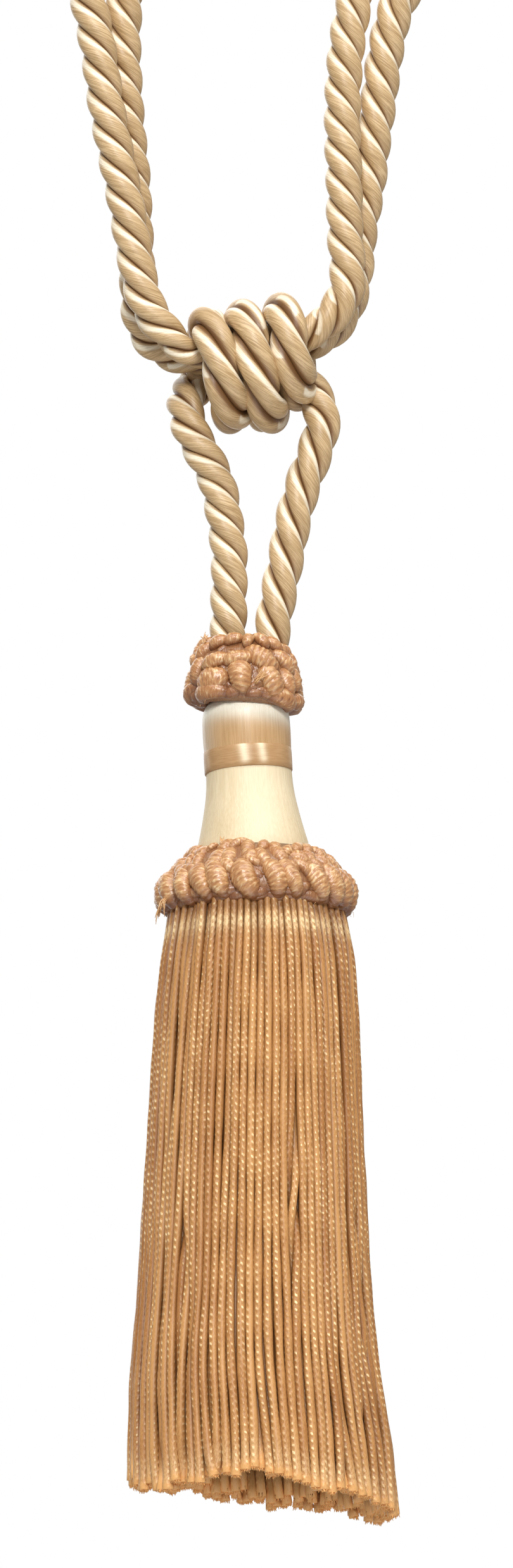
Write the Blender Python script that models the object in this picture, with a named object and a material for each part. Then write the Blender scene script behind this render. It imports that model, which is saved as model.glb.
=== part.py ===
"""Curtain tieback: a doubled rope bound by three wraps, with a key tassel on two rope legs.

Everything is modelled hanging, in metres, +Z up and -Y towards the viewer.  The origin lies
midway between the two rope eyes, level with the underside of their tops, where a hook bears.
"""

import math
from collections import namedtuple

import bmesh
import bpy
from mathutils import Vector

MM = 0.001

# ---------------------------------------------------------------- driving dimensions

ROPE_RADIUS = 5.0 * MM             # outside of the three plies
ROPE_MAX_TURN = math.radians(16)   # a tube gets a new point after turning this far
ROPE_MAX_RUN = 26 * MM             # or after this length of nearly straight rope

EYE_RADIUS = 19 * MM               # middle of the rope round each hanging eye
EYE_DEGREES = range(-24, 205, 38)  # where its stops lie, from the right over the top to the left

WRAP_RADIUS = 4.65 * MM            # rope radius where a wrap crosses front and back
WRAP_PINCH = 0.74                  # share of that radius left over the top and under the bottom
WRAP_HALF_DEPTH = 13 * MM          # middle of the rope, front to back, from the knot's middle
WRAP_SQUARENESS = 2.6              # exponent of the wraps' rounded-square outline
WRAP_STEPS = 12                    # points in each turn
WRAP_PINCH_SHAPE = 1.5             # how quickly a wrap fills out again past its top and bottom

HEAD_LEAN = math.radians(3.1)      # the head's top leans to the left
HEAD_PIVOT = Vector((0, 0, -293 * MM))
HEAD_SEGMENTS = 36
HEAD_CREASE = math.radians(40)     # edges sharper than this stay crisp

UPPER_RUFF_COILS = 13
UPPER_RUFF_TILT = math.radians(3.6)   # its right side hangs lower
LOWER_RUFF_COILS = 24
COIL_COLUMNS = 4                   # columns of points across one coil
COIL_CREASE = math.radians(50)

CORD_PAIRS = 36                    # teeth of the fringe, each two cords wide
TOOTH_GAP = 0.35 * MM
GROOVE_DEPTH = 0.9 * MM            # between neighbouring teeth
FRINGE_CREASE = math.radians(35)

# ---------------------------------------------------------------- rope routes, in millimetres
# thick is the share of the rope's full thickness, which is squeezed inside the knot.

Stop = namedtuple("Stop", "x y z thick")

LEFT_REAR_RUN = [
    Stop(-0.5, 4.2, -151.2, 0.64), Stop(-7.0, 4.2, -151.3, 0.64), Stop(-14.0, 4.0, -151.8, 0.68),
    Stop(-18.0, 3.9, -151.4, 0.78), Stop(-23.0, 4.4, -149.4, 0.94), Stop(-28.0, 5.1, -145.3, 1),
    Stop(-30.9, 5.3, -138.5, 1), Stop(-31.5, 5.3, -129.0, 1), Stop(-32.3, 5.3, -114.0, 1),
    Stop(-32.9, 5.1, -102.0, 1), Stop(-34.2, 4.8, -89.0, 1), Stop(-35.1, 4.4, -76.0, 1),
    Stop(-35.4, 3.8, -62.0, 1), Stop(-34.2, 2.6, -49.0, 1), Stop(-30.4, 1.2, -36.0, 1),
]
LEFT_FRONT_RUN = [
    Stop(-54.2, -1.4, -33.5, 1), Stop(-47.0, -2.8, -47.0, 1), Stop(-43.6, -3.8, -60.0, 1),
    Stop(-41.6, -4.3, -71.0, 1), Stop(-39.8, -4.7, -83.9, 1), Stop(-37.2, -5.0, -97.5, 1),
    Stop(-34.5, -5.2, -111.1, 1), Stop(-32.2, -5.3, -124.7, 1), Stop(-30.9, -5.3, -131.5, 1),
    Stop(-28.9, -5.3, -138.3, 1), Stop(-25.5, -5.1, -143.6, 0.97), Stop(-22.0, -4.8, -147.4, 0.88),
    Stop(-18.0, -4.4, -151.1, 0.76), Stop(-14.0, -4.2, -151.9, 0.68), Stop(-7.0, -4.2, -151.3, 0.64),
    Stop(-0.5, -4.2, -151.2, 0.64),
]
RIGHT_FRONT_RUN = [
    Stop(0.5, -4.2, -151.1, 0.64), Stop(4.5, -4.2, -150.4, 0.64), Stop(9.0, -4.3, -148.9, 0.66),
    Stop(13.3, -4.6, -146.6, 0.8), Stop(16.7, -5.0, -144.2, 0.92), Stop(20.3, -5.2, -140.6, 1),
    Stop(23.2, -5.3, -135.9, 1), Stop(24.1, -5.3, -130.6, 1), Stop(23.7, -5.3, -124.0, 1),
    Stop(23.3, -5.1, -116.0, 1), Stop(23.1, -4.5, -104.0, 1), Stop(22.7, -3.4, -90.5, 1),
    Stop(23.0, -2.2, -77.0, 1), Stop(24.2, -1.4, -64.5, 1), Stop(26.2, -0.8, -52.5, 1),
    Stop(26.4, -0.3, -40.0, 1), Stop(25.2, 0.0, -27.5, 1),
]
RIGHT_REAR_RUN = [
    Stop(52.4, 0.3, -31.5, 1), Stop(42.6, 1.0, -46.5, 1), Stop(37.0, 1.6, -56.5, 1),
    Stop(34.0, 2.4, -69.0, 1), Stop(32.3, 3.1, -81.5, 1), Stop(30.9, 3.8, -91.0, 1),
    Stop(29.5, 4.6, -102.6, 1), Stop(27.2, 5.2, -116.0, 1), Stop(25.9, 5.4, -128.0, 1),
    Stop(23.9, 5.4, -136.4, 1), Stop(20.6, 5.2, -142.1, 0.97), Stop(17.2, 5.0, -145.4, 0.9),
    Stop(13.3, 4.7, -147.4, 0.78), Stop(9.0, 4.3, -148.9, 0.66), Stop(4.5, 4.2, -150.4, 0.64),
    Stop(0.5, 4.2, -151.1, 0.64),
]
LEFT_LEG_RUN = [
    Stop(-7.9, 0, -242.5, 1), Stop(-7.9, 0, -234.0, 1), Stop(-7.4, 0, -224.0, 1),
    Stop(-7.3, 0, -214.0, 1), Stop(-7.2, 0, -205.0, 1), Stop(-8.4, 0, -195.0, 1),
    Stop(-10.5, 0, -184.8, 1), Stop(-13.7, 0, -178.0, 1), Stop(-16.5, 0.6, -173.3, 1),
    Stop(-18.7, 2.8, -169.2, 1), Stop(-19.1, 6.4, -166.6, 1), Stop(-18.7, 10.0, -164.4, 0.98),
    Stop(-17.9, 12.4, -161.8, 0.95), Stop(-17.2, 12.8, -158.9, 0.93),
]
RIGHT_LEG_RUN = [
    Stop(2.7, 0, -241.9, 1), Stop(2.9, 0, -234.0, 1), Stop(4.1, 0, -225.0, 1),
    Stop(6.0, 0, -214.0, 1), Stop(7.8, 0, -205.0, 1), Stop(9.7, 0, -195.0, 1),
    Stop(12.5, 0, -184.8, 1), Stop(15.2, 0, -177.5, 1), Stop(17.4, 0, -171.2, 1),
    Stop(18.9, 0, -166.3, 0.96), Stop(19.6, 0, -162.0, 0.85), Stop(19.1, 0, -157.6, 0.7),
    Stop(16.5, 0, -154.0, 0.61), Stop(12.5, 0, -152.9, 0.57), Stop(7.5, 0, -153.7, 0.53),
    Stop(1.0, 0, -155.3, 0.52),
]
EYE_CENTRE = {"left_loop": (-43 * MM, -14 * MM), "right_loop": (44 * MM, -14 * MM)}

# The rope's middle where each wrap goes over the top and under the bottom.
Wrap = namedtuple("Wrap", "x_top z_top x_bottom z_bottom")
WRAPS = [
    Wrap(-14.7, -142.9, -6.5, -167.1),
    Wrap(-4.8, -140.7, 4.0, -167.5),
    Wrap(6.5, -139.0, 11.2, -160.0),
]
WRAP_START = (-18.2, -164.4)       # x and z that the first back crossing would rise from
WRAP_START_TURN = math.radians(105)  # how long before the first top the wraps start
WRAP_END = (13.6, -142.0)          # x and z that the last back crossing heads for
WRAP_END_TURN = math.radians(258)  # where the last turn stops, counted from its top

# ---------------------------------------------------------------- tassel outlines, in millimetres

Ring = namedtuple("Ring", "radius z")

# Heights along the head's own axis, from the pivot at the lower ruff.
CAP_OUTLINE = [
    Ring(0, 33.1), Ring(10.7, 33.1), Ring(10.7, 36.1), Ring(11.55, 36.2), Ring(11.6, 43.5),
    Ring(11.35, 45.6), Ring(10.8, 47.2), Ring(9.9, 48.5), Ring(8.7, 49.4), Ring(7.2, 49.8),
    Ring(0, 49.8),
]
NECK_OUTLINE = [
    Ring(0, -6), Ring(15.8, -6), Ring(15.8, 0), Ring(15.4, 5), Ring(14.7, 10), Ring(13.9, 13.3),
    Ring(13.1, 16.7), Ring(12.4, 20.1), Ring(11.8, 23.4), Ring(11.35, 27), Ring(11.4, 29.6),
    Ring(10.7, 29.7), Ring(10.7, 32.8), Ring(0, 32.8),
]
BAND_OUTLINE = [Ring(11.05, 30.0), Ring(11.85, 30.0), Ring(11.85, 35.8), Ring(11.05, 35.8)]

# Heights from the origin.  swell is how far the wound coils stand out and in from that radius.
Collar = namedtuple("Collar", "radius z swell")
UPPER_RUFF_OUTLINE = [
    Collar(12.45, -246.0, 0), Collar(15.4, -245.8, 0.6), Collar(16.2, -243.0, 0.7),
    Collar(16.0, -238.0, 0.6), Collar(15.4, -234.0, 0.5), Collar(14.4, -230.5, 0.5),
    Collar(12.8, -227.2, 0.4), Collar(10.4, -225.0, 0.2), Collar(7.6, -224.4, 0),
    Collar(5.6, -225.4, 0), Collar(5.6, -240.0, 0), Collar(12.45, -241.2, 0),
]
UPPER_RUFF_X = -3.3 * MM
LEG_SLOT_HALF = (12.9 * MM, 6.4 * MM)   # half width and half depth of the slot for the two legs
LEG_SLOT_PLACE = (-2.0 * MM, 0, -222.5 * MM)
LEG_SLOT_HEIGHT = 40 * MM
LEG_SLOT_SIDES = 28
LOWER_RUFF_OUTLINE = [
    Collar(23.5, -301.0, 0), Collar(25.4, -301.2, 0.7), Collar(26.7, -298.5, 0.8),
    Collar(26.4, -294.0, 0.8), Collar(24.6, -289.6, 0.6), Collar(20.2, -285.2, 0.4),
    Collar(16.0, -281.8, 0.1), Collar(15.3, -282.2, 0), Collar(16.6, -287.5, 0),
    Collar(16.7, -290.7, 0), Collar(23.5, -291.0, 0),
]

# The fringe: outer and inner radius and the sideways drift of its middle, by height.
Level = namedtuple("Level", "z outer inner drift")
HEADING = [
    Level(-291.4, 23.1, 16.9, 0.0), Level(-302.0, 23.1, 16.9, 0.1), Level(-303.8, 24.4, 17.1, 0.2),
]
SKIRT = [
    Level(-311.0, 25.9, 17.6, 0.2), Level(-330.0, 27.0, 18.9, 0.1), Level(-356.0, 28.3, 20.4, -0.4),
    Level(-385.0, 29.9, 22.2, -0.6), Level(-403.0, 30.9, 23.3, -0.6), Level(-418.0, 32.2, 24.4, -0.5),
]
TEETH = [
    Level(-427.0, 33.4, 25.4, -0.3), Level(-440.0, 34.8, 26.6, 0.6), Level(-452.0, 35.3, 27.2, 1.3),
]
TIP_Z = -456.6                     # mean height of the cut ends
TIP_SLANT = 3.8                    # the right side hangs this much lower, the left higher
TIP_WAVE = 1.1                     # unevenness of the cut
TIP_RIPPLES = [(3, 0.6, 1.0), (7, 2.1, 0.7), (17, 0.0, 0.5)]   # waves round, phase and share
TIP_OUTER = 35.3
TIP_INNER = 27.4
TIP_DRIFT = 1.5


def clear_scene():
    """Remove whatever the scene holds."""
    for old in list(bpy.data.objects):
        bpy.data.objects.remove(old, do_unlink=True)


def finish(name, colour, roughness):
    """A plain Principled material."""
    material = bpy.data.materials.new(name)
    material.use_nodes = True
    shader = material.node_tree.nodes["Principled BSDF"]
    shader.inputs["Base Color"].default_value = (*colour, 1)
    shader.inputs["Roughness"].default_value = roughness
    shader.inputs["Metallic"].default_value = 0
    return material


def place(name, data, material, parent=None):
    """Link a mesh or curve as one named piece with its material."""
    piece = bpy.data.objects.new(name, data)
    data.materials.append(material)
    bpy.context.scene.collection.objects.link(piece)
    piece.parent = parent
    return piece


# ---------------------------------------------------------------- ropes

def smooth_through(stops, steps=8):
    """Points of a centripetal spline through the stops, each with its thickness."""
    points = [(Vector((s.x, s.y, s.z)) * MM, s.thick) for s in stops]
    before = points[0][0] * 2 - points[1][0]
    after = points[-1][0] * 2 - points[-2][0]
    padded = [(before, points[0][1]), *points, (after, points[-1][1])]
    curve = []
    for (a, _), (b, thick_b), (c, thick_c), (d, _) in zip(padded, padded[1:], padded[2:], padded[3:]):
        knots = [0.0]
        for near, far in ((a, b), (b, c), (c, d)):
            knots.append(knots[-1] + math.sqrt((far - near).length))
        for step in range(steps):
            share = step / steps
            t = knots[1] + share * (knots[2] - knots[1])
            ab = a.lerp(b, (t - knots[0]) / (knots[1] - knots[0]))
            bc = b.lerp(c, (t - knots[1]) / (knots[2] - knots[1]))
            cd = c.lerp(d, (t - knots[2]) / (knots[3] - knots[2]))
            abc = ab.lerp(bc, (t - knots[0]) / (knots[2] - knots[0]))
            bcd = bc.lerp(cd, (t - knots[1]) / (knots[3] - knots[1]))
            place_here = abc.lerp(bcd, (t - knots[1]) / (knots[2] - knots[1]))
            curve.append((place_here, thick_b + share * (thick_c - thick_b)))
    curve.append(points[-1])
    return curve


def thin_out(curve):
    """Keep a point wherever the rope has turned or run far enough since the last one."""
    kept = [curve[0]]
    turned = 0.0
    for before, here, after in zip(curve, curve[1:], curve[2:]):
        turned += (here[0] - before[0]).angle(after[0] - here[0], 0.0)
        run = (here[0] - kept[-1][0]).length
        if turned > ROPE_MAX_TURN or run > ROPE_MAX_RUN:
            kept.append(here)
            turned = 0.0
    if (kept[-1][0] - curve[-1][0]).length < ROPE_RADIUS:
        kept.pop()
    kept.append(curve[-1])
    return kept


def rope(name, points, radius, material):
    """A capped tube through (place, thickness) points."""
    curve = bpy.data.curves.new(name, "CURVE")
    curve.dimensions = "3D"
    curve.bevel_depth = radius
    curve.bevel_resolution = 3
    curve.use_fill_caps = True
    spline = curve.splines.new("POLY")
    spline.points.add(len(points) - 1)
    for point, (where, thick) in zip(spline.points, points):
        point.co = (*where, 1)
        point.radius = thick
    return place(name, curve, material)


def eye_stops(name):
    """Stops round a hanging eye, from its right side over the top to its left."""
    centre_x, centre_z = EYE_CENTRE[name]
    stops = []
    for degrees in EYE_DEGREES:
        angle = math.radians(degrees)
        x = (centre_x + EYE_RADIUS * math.cos(angle)) / MM
        z = (centre_z + EYE_RADIUS * math.sin(angle)) / MM
        stops.append(Stop(x, 0, z, 1))
    return stops


def add_ropes(material):
    """The two doubled arms with their eyes, and the two legs."""
    left = LEFT_REAR_RUN + eye_stops("left_loop") + LEFT_FRONT_RUN
    right = RIGHT_FRONT_RUN + eye_stops("right_loop")[::-1] + RIGHT_REAR_RUN
    runs = {"left_loop": left, "right_loop": right,
            "left_leg": LEFT_LEG_RUN, "right_leg": RIGHT_LEG_RUN}
    for name, stops in runs.items():
        rope(name, thin_out(smooth_through(stops)), ROPE_RADIUS, material)


def round_square(share):
    """A cosine or sine bent towards a rounded square."""
    return math.copysign(abs(share) ** (2 / WRAP_SQUARENESS), share)


def wrap_point(turn):
    """Place and thickness of the wrapping rope after that many radians from the first top."""
    lap, angle = divmod(turn, 2 * math.pi)
    lap = int(lap)
    if angle <= math.pi:
        x_from, z_upper = WRAPS[lap].x_top, WRAPS[lap].z_top
        x_to, z_lower = WRAPS[lap].x_bottom, WRAPS[lap].z_bottom
        ease = (1 - math.cos(angle)) / 2
    else:
        x_from, z_lower = (WRAPS[lap].x_bottom, WRAPS[lap].z_bottom) if lap >= 0 else WRAP_START
        ahead = lap + 1
        x_to, z_upper = (WRAPS[ahead].x_top, WRAPS[ahead].z_top) if ahead < len(WRAPS) else WRAP_END
        ease = (1 + math.cos(angle)) / 2
    x = x_from + (x_to - x_from) * ease
    y = -WRAP_HALF_DEPTH / MM * round_square(math.sin(angle))
    z = (z_upper + z_lower) / 2 + (z_upper - z_lower) / 2 * round_square(math.cos(angle))
    thick = WRAP_PINCH + (1 - WRAP_PINCH) * abs(math.sin(angle)) ** WRAP_PINCH_SHAPE
    return Vector((x, y, z)) * MM, thick


def add_wraps(material):
    """Three turns of rope round the arms, from the left leg at the back to the right end."""
    start = -WRAP_START_TURN
    end = 2 * math.pi * (len(WRAPS) - 1) + WRAP_END_TURN
    count = round((end - start) / (2 * math.pi) * WRAP_STEPS)
    points = [wrap_point(start + (end - start) * step / count) for step in range(count + 1)]
    rope("knot_wraps", points, WRAP_RADIUS, material)


# ---------------------------------------------------------------- turned and gathered rings

def turned(name, outline, material, parent):
    """A piece turned about its own axis, solid where the outline meets the axis, else a ring."""
    mesh = bpy.data.meshes.new(name)
    bm = bmesh.new()
    rows = []
    for ring in outline:
        radius, z = ring.radius * MM, ring.z * MM
        if radius == 0:
            rows.append([bm.verts.new((0, 0, z))])
            continue
        row = []
        for column in range(HEAD_SEGMENTS):
            angle = 2 * math.pi * column / HEAD_SEGMENTS
            row.append(bm.verts.new((radius * math.cos(angle), radius * math.sin(angle), z)))
        rows.append(row)
    if len(rows[0]) > 1:
        rows.append(rows[0])
    join_rows(bm, rows)
    bm.to_mesh(mesh)
    bm.free()
    mesh.shade_smooth()
    mesh.set_sharp_from_angle(angle=HEAD_CREASE)
    return place(name, mesh, material, parent)


def join_rows(bm, rows):
    """Faces between neighbouring rows of a ring; a row of one point closes as a fan."""
    for low, high in zip(rows, rows[1:]):
        count = max(len(low), len(high))
        for column in range(count):
            ahead = (column + 1) % count
            corners = [low[column % len(low)], low[ahead % len(low)],
                       high[ahead % len(high)], high[column % len(high)]]
            distinct = list(dict.fromkeys(corners))
            bm.faces.new(distinct)


def coiled_ring(name, outline, coils, material, centre_x=0.0):
    """A closed ring whose outer rows swell at each wound coil."""
    mesh = bpy.data.meshes.new(name)
    bm = bmesh.new()
    columns = coils * COIL_COLUMNS
    rows = []
    for collar in outline:
        row = []
        for column in range(columns):
            angle = 2 * math.pi * column / columns
            phase = math.pi * column / COIL_COLUMNS
            radius = collar.radius + collar.swell * (2 * abs(math.sin(phase)) - 1)
            x, y = radius * math.cos(angle), radius * math.sin(angle)
            row.append(bm.verts.new(Vector((x, y, collar.z)) * MM + Vector((centre_x, 0, 0))))
        rows.append(row)
    join_rows(bm, [*rows, rows[0]])
    bm.to_mesh(mesh)
    bm.free()
    mesh.shade_smooth()
    mesh.set_sharp_from_angle(angle=COIL_CREASE)
    return place(name, mesh, material)


def add_upper_ruff(material):
    """The dome of coils, tilted, with an oval slot that the two legs come out of."""
    ruff = coiled_ring("upper_ruff", UPPER_RUFF_OUTLINE, UPPER_RUFF_COILS, material, UPPER_RUFF_X)
    for vertex in ruff.data.vertices:
        vertex.co.z -= (vertex.co.x - UPPER_RUFF_X) * math.tan(UPPER_RUFF_TILT)
    bpy.ops.mesh.primitive_cylinder_add(vertices=LEG_SLOT_SIDES, radius=1, depth=LEG_SLOT_HEIGHT,
                                        location=LEG_SLOT_PLACE)
    slot = bpy.context.object
    slot.name = "leg_slot_cutter"
    slot.scale = (*LEG_SLOT_HALF, 1)
    slot.hide_render = True
    slot.display_type = "WIRE"
    cut = ruff.modifiers.new("leg slot", "BOOLEAN")
    cut.object = slot
    cut.solver = "EXACT"


def add_head(satin, ribbon):
    """Cap, band and neck on one leaning axis."""
    lean = bpy.data.objects.new("head_lean", None)
    bpy.context.scene.collection.objects.link(lean)
    lean.location = HEAD_PIVOT
    lean.rotation_euler = (0, -HEAD_LEAN, 0)
    turned("head_cap", CAP_OUTLINE, satin, lean)
    turned("head_neck", NECK_OUTLINE, satin, lean)
    turned("head_band", BAND_OUTLINE, ribbon, lean)


# ---------------------------------------------------------------- fringe

def tip_height(angle):
    """Height of the cut end at an angle round the skirt, in millimetres."""
    wave = sum(share * math.sin(waves * angle + phase) for waves, phase, share in TIP_RIPPLES)
    return TIP_Z - TIP_SLANT * math.cos(angle) + TIP_WAVE * wave


def fringe_point(radius, angle, z, drift):
    """A point of the skirt, from millimetres."""
    return Vector((radius * math.cos(angle) + drift, radius * math.sin(angle), z)) * MM


def add_fringe(material):
    """One comb round its edge: a heading ring, a grooved curtain of cords and parted teeth.

    Each tooth has three columns of points: its left edge, its middle and its right edge.
    """
    mesh = bpy.data.meshes.new("fringe_skirt")
    bm = bmesh.new()
    step = 2 * math.pi / CORD_PAIRS
    columns = 3 * CORD_PAIRS
    groove = GROOVE_DEPTH / MM

    def column_angle(column, edge):
        """Angle of a column; edge is half the space between teeth, in millimetres of arc."""
        tooth, part = divmod(column, 3)
        middle = (tooth + 0.5) * step
        return middle + (part - 1) * (step / 2 - edge)

    def full_rows(levels, depth):
        rows = []
        for level in levels:
            edge = TOOTH_GAP / MM / 2 / level.outer
            outer = []
            for column in range(columns):
                crown = depth if column % 3 != 1 else 0
                outer.append(bm.verts.new(fringe_point(
                    level.outer - crown, column_angle(column, edge), level.z, level.drift)))
            inner = [bm.verts.new(fringe_point(
                level.inner, column_angle(column, edge), level.z, level.drift))
                for column in range(columns)]
            rows.append((outer, inner))
        return rows

    rows = full_rows(HEADING, 0) + full_rows(SKIRT, groove)
    for (outer_high, inner_high), (outer_low, inner_low) in zip(rows, rows[1:]):
        for column in range(columns):
            ahead = (column + 1) % columns
            bm.faces.new((outer_low[column], outer_low[ahead], outer_high[ahead], outer_high[column]))
            bm.faces.new((inner_low[ahead], inner_low[column], inner_high[column], inner_high[ahead]))
    outer_top, inner_top = rows[0]
    for column in range(columns):
        ahead = (column + 1) % columns
        bm.faces.new((outer_top[column], outer_top[ahead], inner_top[ahead], inner_top[column]))
    outer_split, inner_split = rows[-1]
    for tooth in range(CORD_PAIRS):
        right, ahead = 3 * tooth + 2, (3 * tooth + 3) % columns
        bm.faces.new((outer_split[ahead], outer_split[right], inner_split[right], inner_split[ahead]))
        add_tooth(bm, tooth, step, outer_split[3 * tooth:3 * tooth + 3],
                  inner_split[3 * tooth:3 * tooth + 3])
    bm.to_mesh(mesh)
    bm.free()
    mesh.shade_smooth()
    mesh.set_sharp_from_angle(angle=FRINGE_CREASE)
    return place("fringe_skirt", mesh, material)


def add_tooth(bm, tooth, step, outer_high, inner_high):
    """Two parted cords of the fringe as one tooth, from the split down to its own cut end."""
    middle = (tooth + 0.5) * step
    tip = Level(tip_height(middle), TIP_OUTER, TIP_INNER, TIP_DRIFT)
    for level in [*TEETH, tip]:
        edge = TOOTH_GAP / MM / level.outer
        outer_low, inner_low = [], []
        for part in (-1, 0, 1):
            angle = middle + part * (step / 2 - edge)
            crown = GROOVE_DEPTH / MM if part else 0
            outer_low.append(bm.verts.new(
                fringe_point(level.outer - crown, angle, level.z, level.drift)))
            inner_low.append(bm.verts.new(fringe_point(level.inner, angle, level.z, level.drift)))
        for part in (0, 1):
            bm.faces.new((outer_low[part], outer_low[part + 1], outer_high[part + 1], outer_high[part]))
            bm.faces.new((inner_low[part + 1], inner_low[part], inner_high[part], inner_high[part + 1]))
        bm.faces.new((inner_low[0], outer_low[0], outer_high[0], inner_high[0]))
        bm.faces.new((outer_low[2], inner_low[2], inner_high[2], outer_high[2]))
        outer_high, inner_high = outer_low, inner_low
    for part in (0, 1):
        bm.faces.new((inner_high[part], inner_high[part + 1], outer_high[part + 1], outer_high[part]))


def main():
    """Build every piece of the tieback."""
    clear_scene()
    gold_rope = finish("gold rope", (0.62, 0.43, 0.22), 0.45)
    gimp = finish("peach gimp", (0.66, 0.36, 0.19), 0.55)
    satin = finish("cream satin", (0.83, 0.70, 0.47), 0.35)
    ribbon = finish("gold ribbon", (0.60, 0.38, 0.16), 0.3)
    fringe = finish("peach fringe", (0.66, 0.40, 0.17), 0.5)
    add_ropes(gold_rope)
    add_wraps(gold_rope)
    add_upper_ruff(gimp)
    add_head(satin, ribbon)
    coiled_ring("lower_ruff", LOWER_RUFF_OUTLINE, LOWER_RUFF_COILS, gimp)
    add_fringe(fringe)


main()
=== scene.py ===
"""Looks of a curtain tieback: three-ply rope, wrapped knot, satin covered head, coiled ruffs, fringe.

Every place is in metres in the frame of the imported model: +Z up as it hangs, -Y towards the viewer.
Routes and outlines are written in millimetres and turned into metres by MM.
"""

import logging
import math
from dataclasses import dataclass, field
from enum import Enum

import bpy
import numpy as np
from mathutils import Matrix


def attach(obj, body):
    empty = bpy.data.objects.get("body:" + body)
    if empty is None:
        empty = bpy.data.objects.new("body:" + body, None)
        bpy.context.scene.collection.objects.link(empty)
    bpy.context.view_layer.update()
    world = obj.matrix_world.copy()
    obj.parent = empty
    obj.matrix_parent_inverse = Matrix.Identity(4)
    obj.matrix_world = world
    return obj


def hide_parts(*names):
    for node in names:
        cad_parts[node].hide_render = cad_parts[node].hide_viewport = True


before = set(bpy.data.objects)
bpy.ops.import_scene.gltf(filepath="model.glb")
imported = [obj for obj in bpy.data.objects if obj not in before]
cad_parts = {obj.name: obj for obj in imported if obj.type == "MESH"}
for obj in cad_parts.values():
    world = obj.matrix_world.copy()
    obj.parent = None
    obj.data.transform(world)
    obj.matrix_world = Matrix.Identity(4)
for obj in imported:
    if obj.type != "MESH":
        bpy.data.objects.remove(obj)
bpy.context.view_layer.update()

MM = 0.001
FULL_TURN = 2 * math.pi
Array = np.ndarray
log = logging.getLogger("tieback")


def table(*rows: tuple[float, ...]) -> Array:
    """A dataclass field whose default is an array of the rows."""
    return field(default_factory=lambda: np.array(rows))


# ---------------------------------------------------------------- points, paths and frames

def unit(vectors: Array) -> Array:
    """Each vector of the array divided by its own length."""
    return vectors / np.linalg.norm(vectors, axis=-1, keepdims=True)


def around(count: int) -> Array:
    """Angles that divide a full turn evenly."""
    return FULL_TURN * np.arange(count) / count


def lengths_along(path: Array) -> Array:
    """Distance from the start of a path to each of its points.

    Args:
        path: points, [..., row, xyz].

    Returns:
        Distances, [..., row].
    """
    steps = np.linalg.norm(np.diff(path, axis=-2), axis=-1)
    start = np.zeros(steps.shape[:-1] + (1,))
    return np.concatenate([start, np.cumsum(steps, axis=-1)], axis=-1)


def smooth_route(stops: Array, step: float) -> Array:
    """Evenly spaced stations on a centripetal spline through given stops.

    Between the second and third of four neighbours, a point is the blend of two blends of three
    straight lines, each weighted by the square roots of the distances between the stops.

    Args:
        stops: rows of x, y, z and thickness.
        step: distance between stations, in the unit of the stops.

    Returns:
        Rows of x, y, z and thickness.
    """
    padded = np.vstack([2 * stops[0] - stops[1], stops, 2 * stops[-1] - stops[-2]])
    a, b, c, d = (padded[i:len(padded) - 3 + i, None] for i in range(4))

    def root_gap(near: Array, far: Array) -> Array:
        """Square root of the distance between stops."""
        return np.sqrt(np.linalg.norm((far - near)[..., :3], axis=-1, keepdims=True))

    t1 = root_gap(a, b)
    t2 = t1 + root_gap(b, c)
    t3 = t2 + root_gap(c, d)
    t = t1 + np.linspace(0, 1, 24, endpoint=False)[None, :, None] * (t2 - t1)

    def blend(near: Array, far: Array, start: Array, end: Array) -> Array:
        """Straight mix of two points by where t lies between start and end."""
        return near + (far - near) * (t - start) / (end - start)

    ab, bc, cd = blend(a, b, 0, t1), blend(b, c, t1, t2), blend(c, d, t2, t3)
    curve = blend(blend(ab, bc, 0, t2), blend(bc, cd, t1, t3), t1, t2).reshape(-1, stops.shape[1])
    curve = np.vstack([curve, stops[-1]])
    run = lengths_along(curve[:, :3])
    even = np.linspace(0, run[-1], round(run[-1] / step) + 1)
    return np.column_stack([np.interp(even, run, column) for column in curve.T])


def frames(path: Array, reference: Array) -> tuple[Array, Array, Array]:
    """Directions along a path, towards a reference, and across both.

    Args:
        path: points, [..., row, xyz].
        reference: one direction, or one for each point, never along the path.

    Returns:
        Unit vectors along, side and cross, with cross = along x side.
    """
    along = unit(np.gradient(path, axis=-2))
    side = unit(reference - (reference * along).sum(-1, keepdims=True) * along)
    return along, side, np.cross(along, side)


def sweep(path: Array, side: Array, cross: Array, out: Array, over: Array) -> Array:
    """Points of a profile carried along a path.

    A point is the path's point plus out times side plus over times cross.

    Args:
        path, side, cross: [..., row, xyz].
        out, over: the profile's two coordinates, [..., row, column].

    Returns:
        Points, [..., row, column, xyz].
    """
    return path[..., None, :] + out[..., None] * side[..., None, :] + over[..., None] * cross[..., None, :]


def glide(values: Array, where: Array) -> Array:
    """Smooth curve through evenly numbered values, by cubic pieces with central slopes.

    Args:
        values: [level, ...].
        where: level numbers, whole or not.

    Returns:
        Values at where, [len(where), ...].
    """
    slopes = np.gradient(values, axis=0)
    low = np.clip(np.floor(where).astype(int), 0, len(values) - 2)
    share = (where - low).reshape(-1, *[1] * (values.ndim - 1))
    square, cube = share ** 2, share ** 3
    return ((2 * cube - 3 * square + 1) * values[low] + (cube - 2 * square + share) * slopes[low]
            + (3 * square - 2 * cube) * values[low + 1] + (cube - square) * slopes[low + 1])


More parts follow.
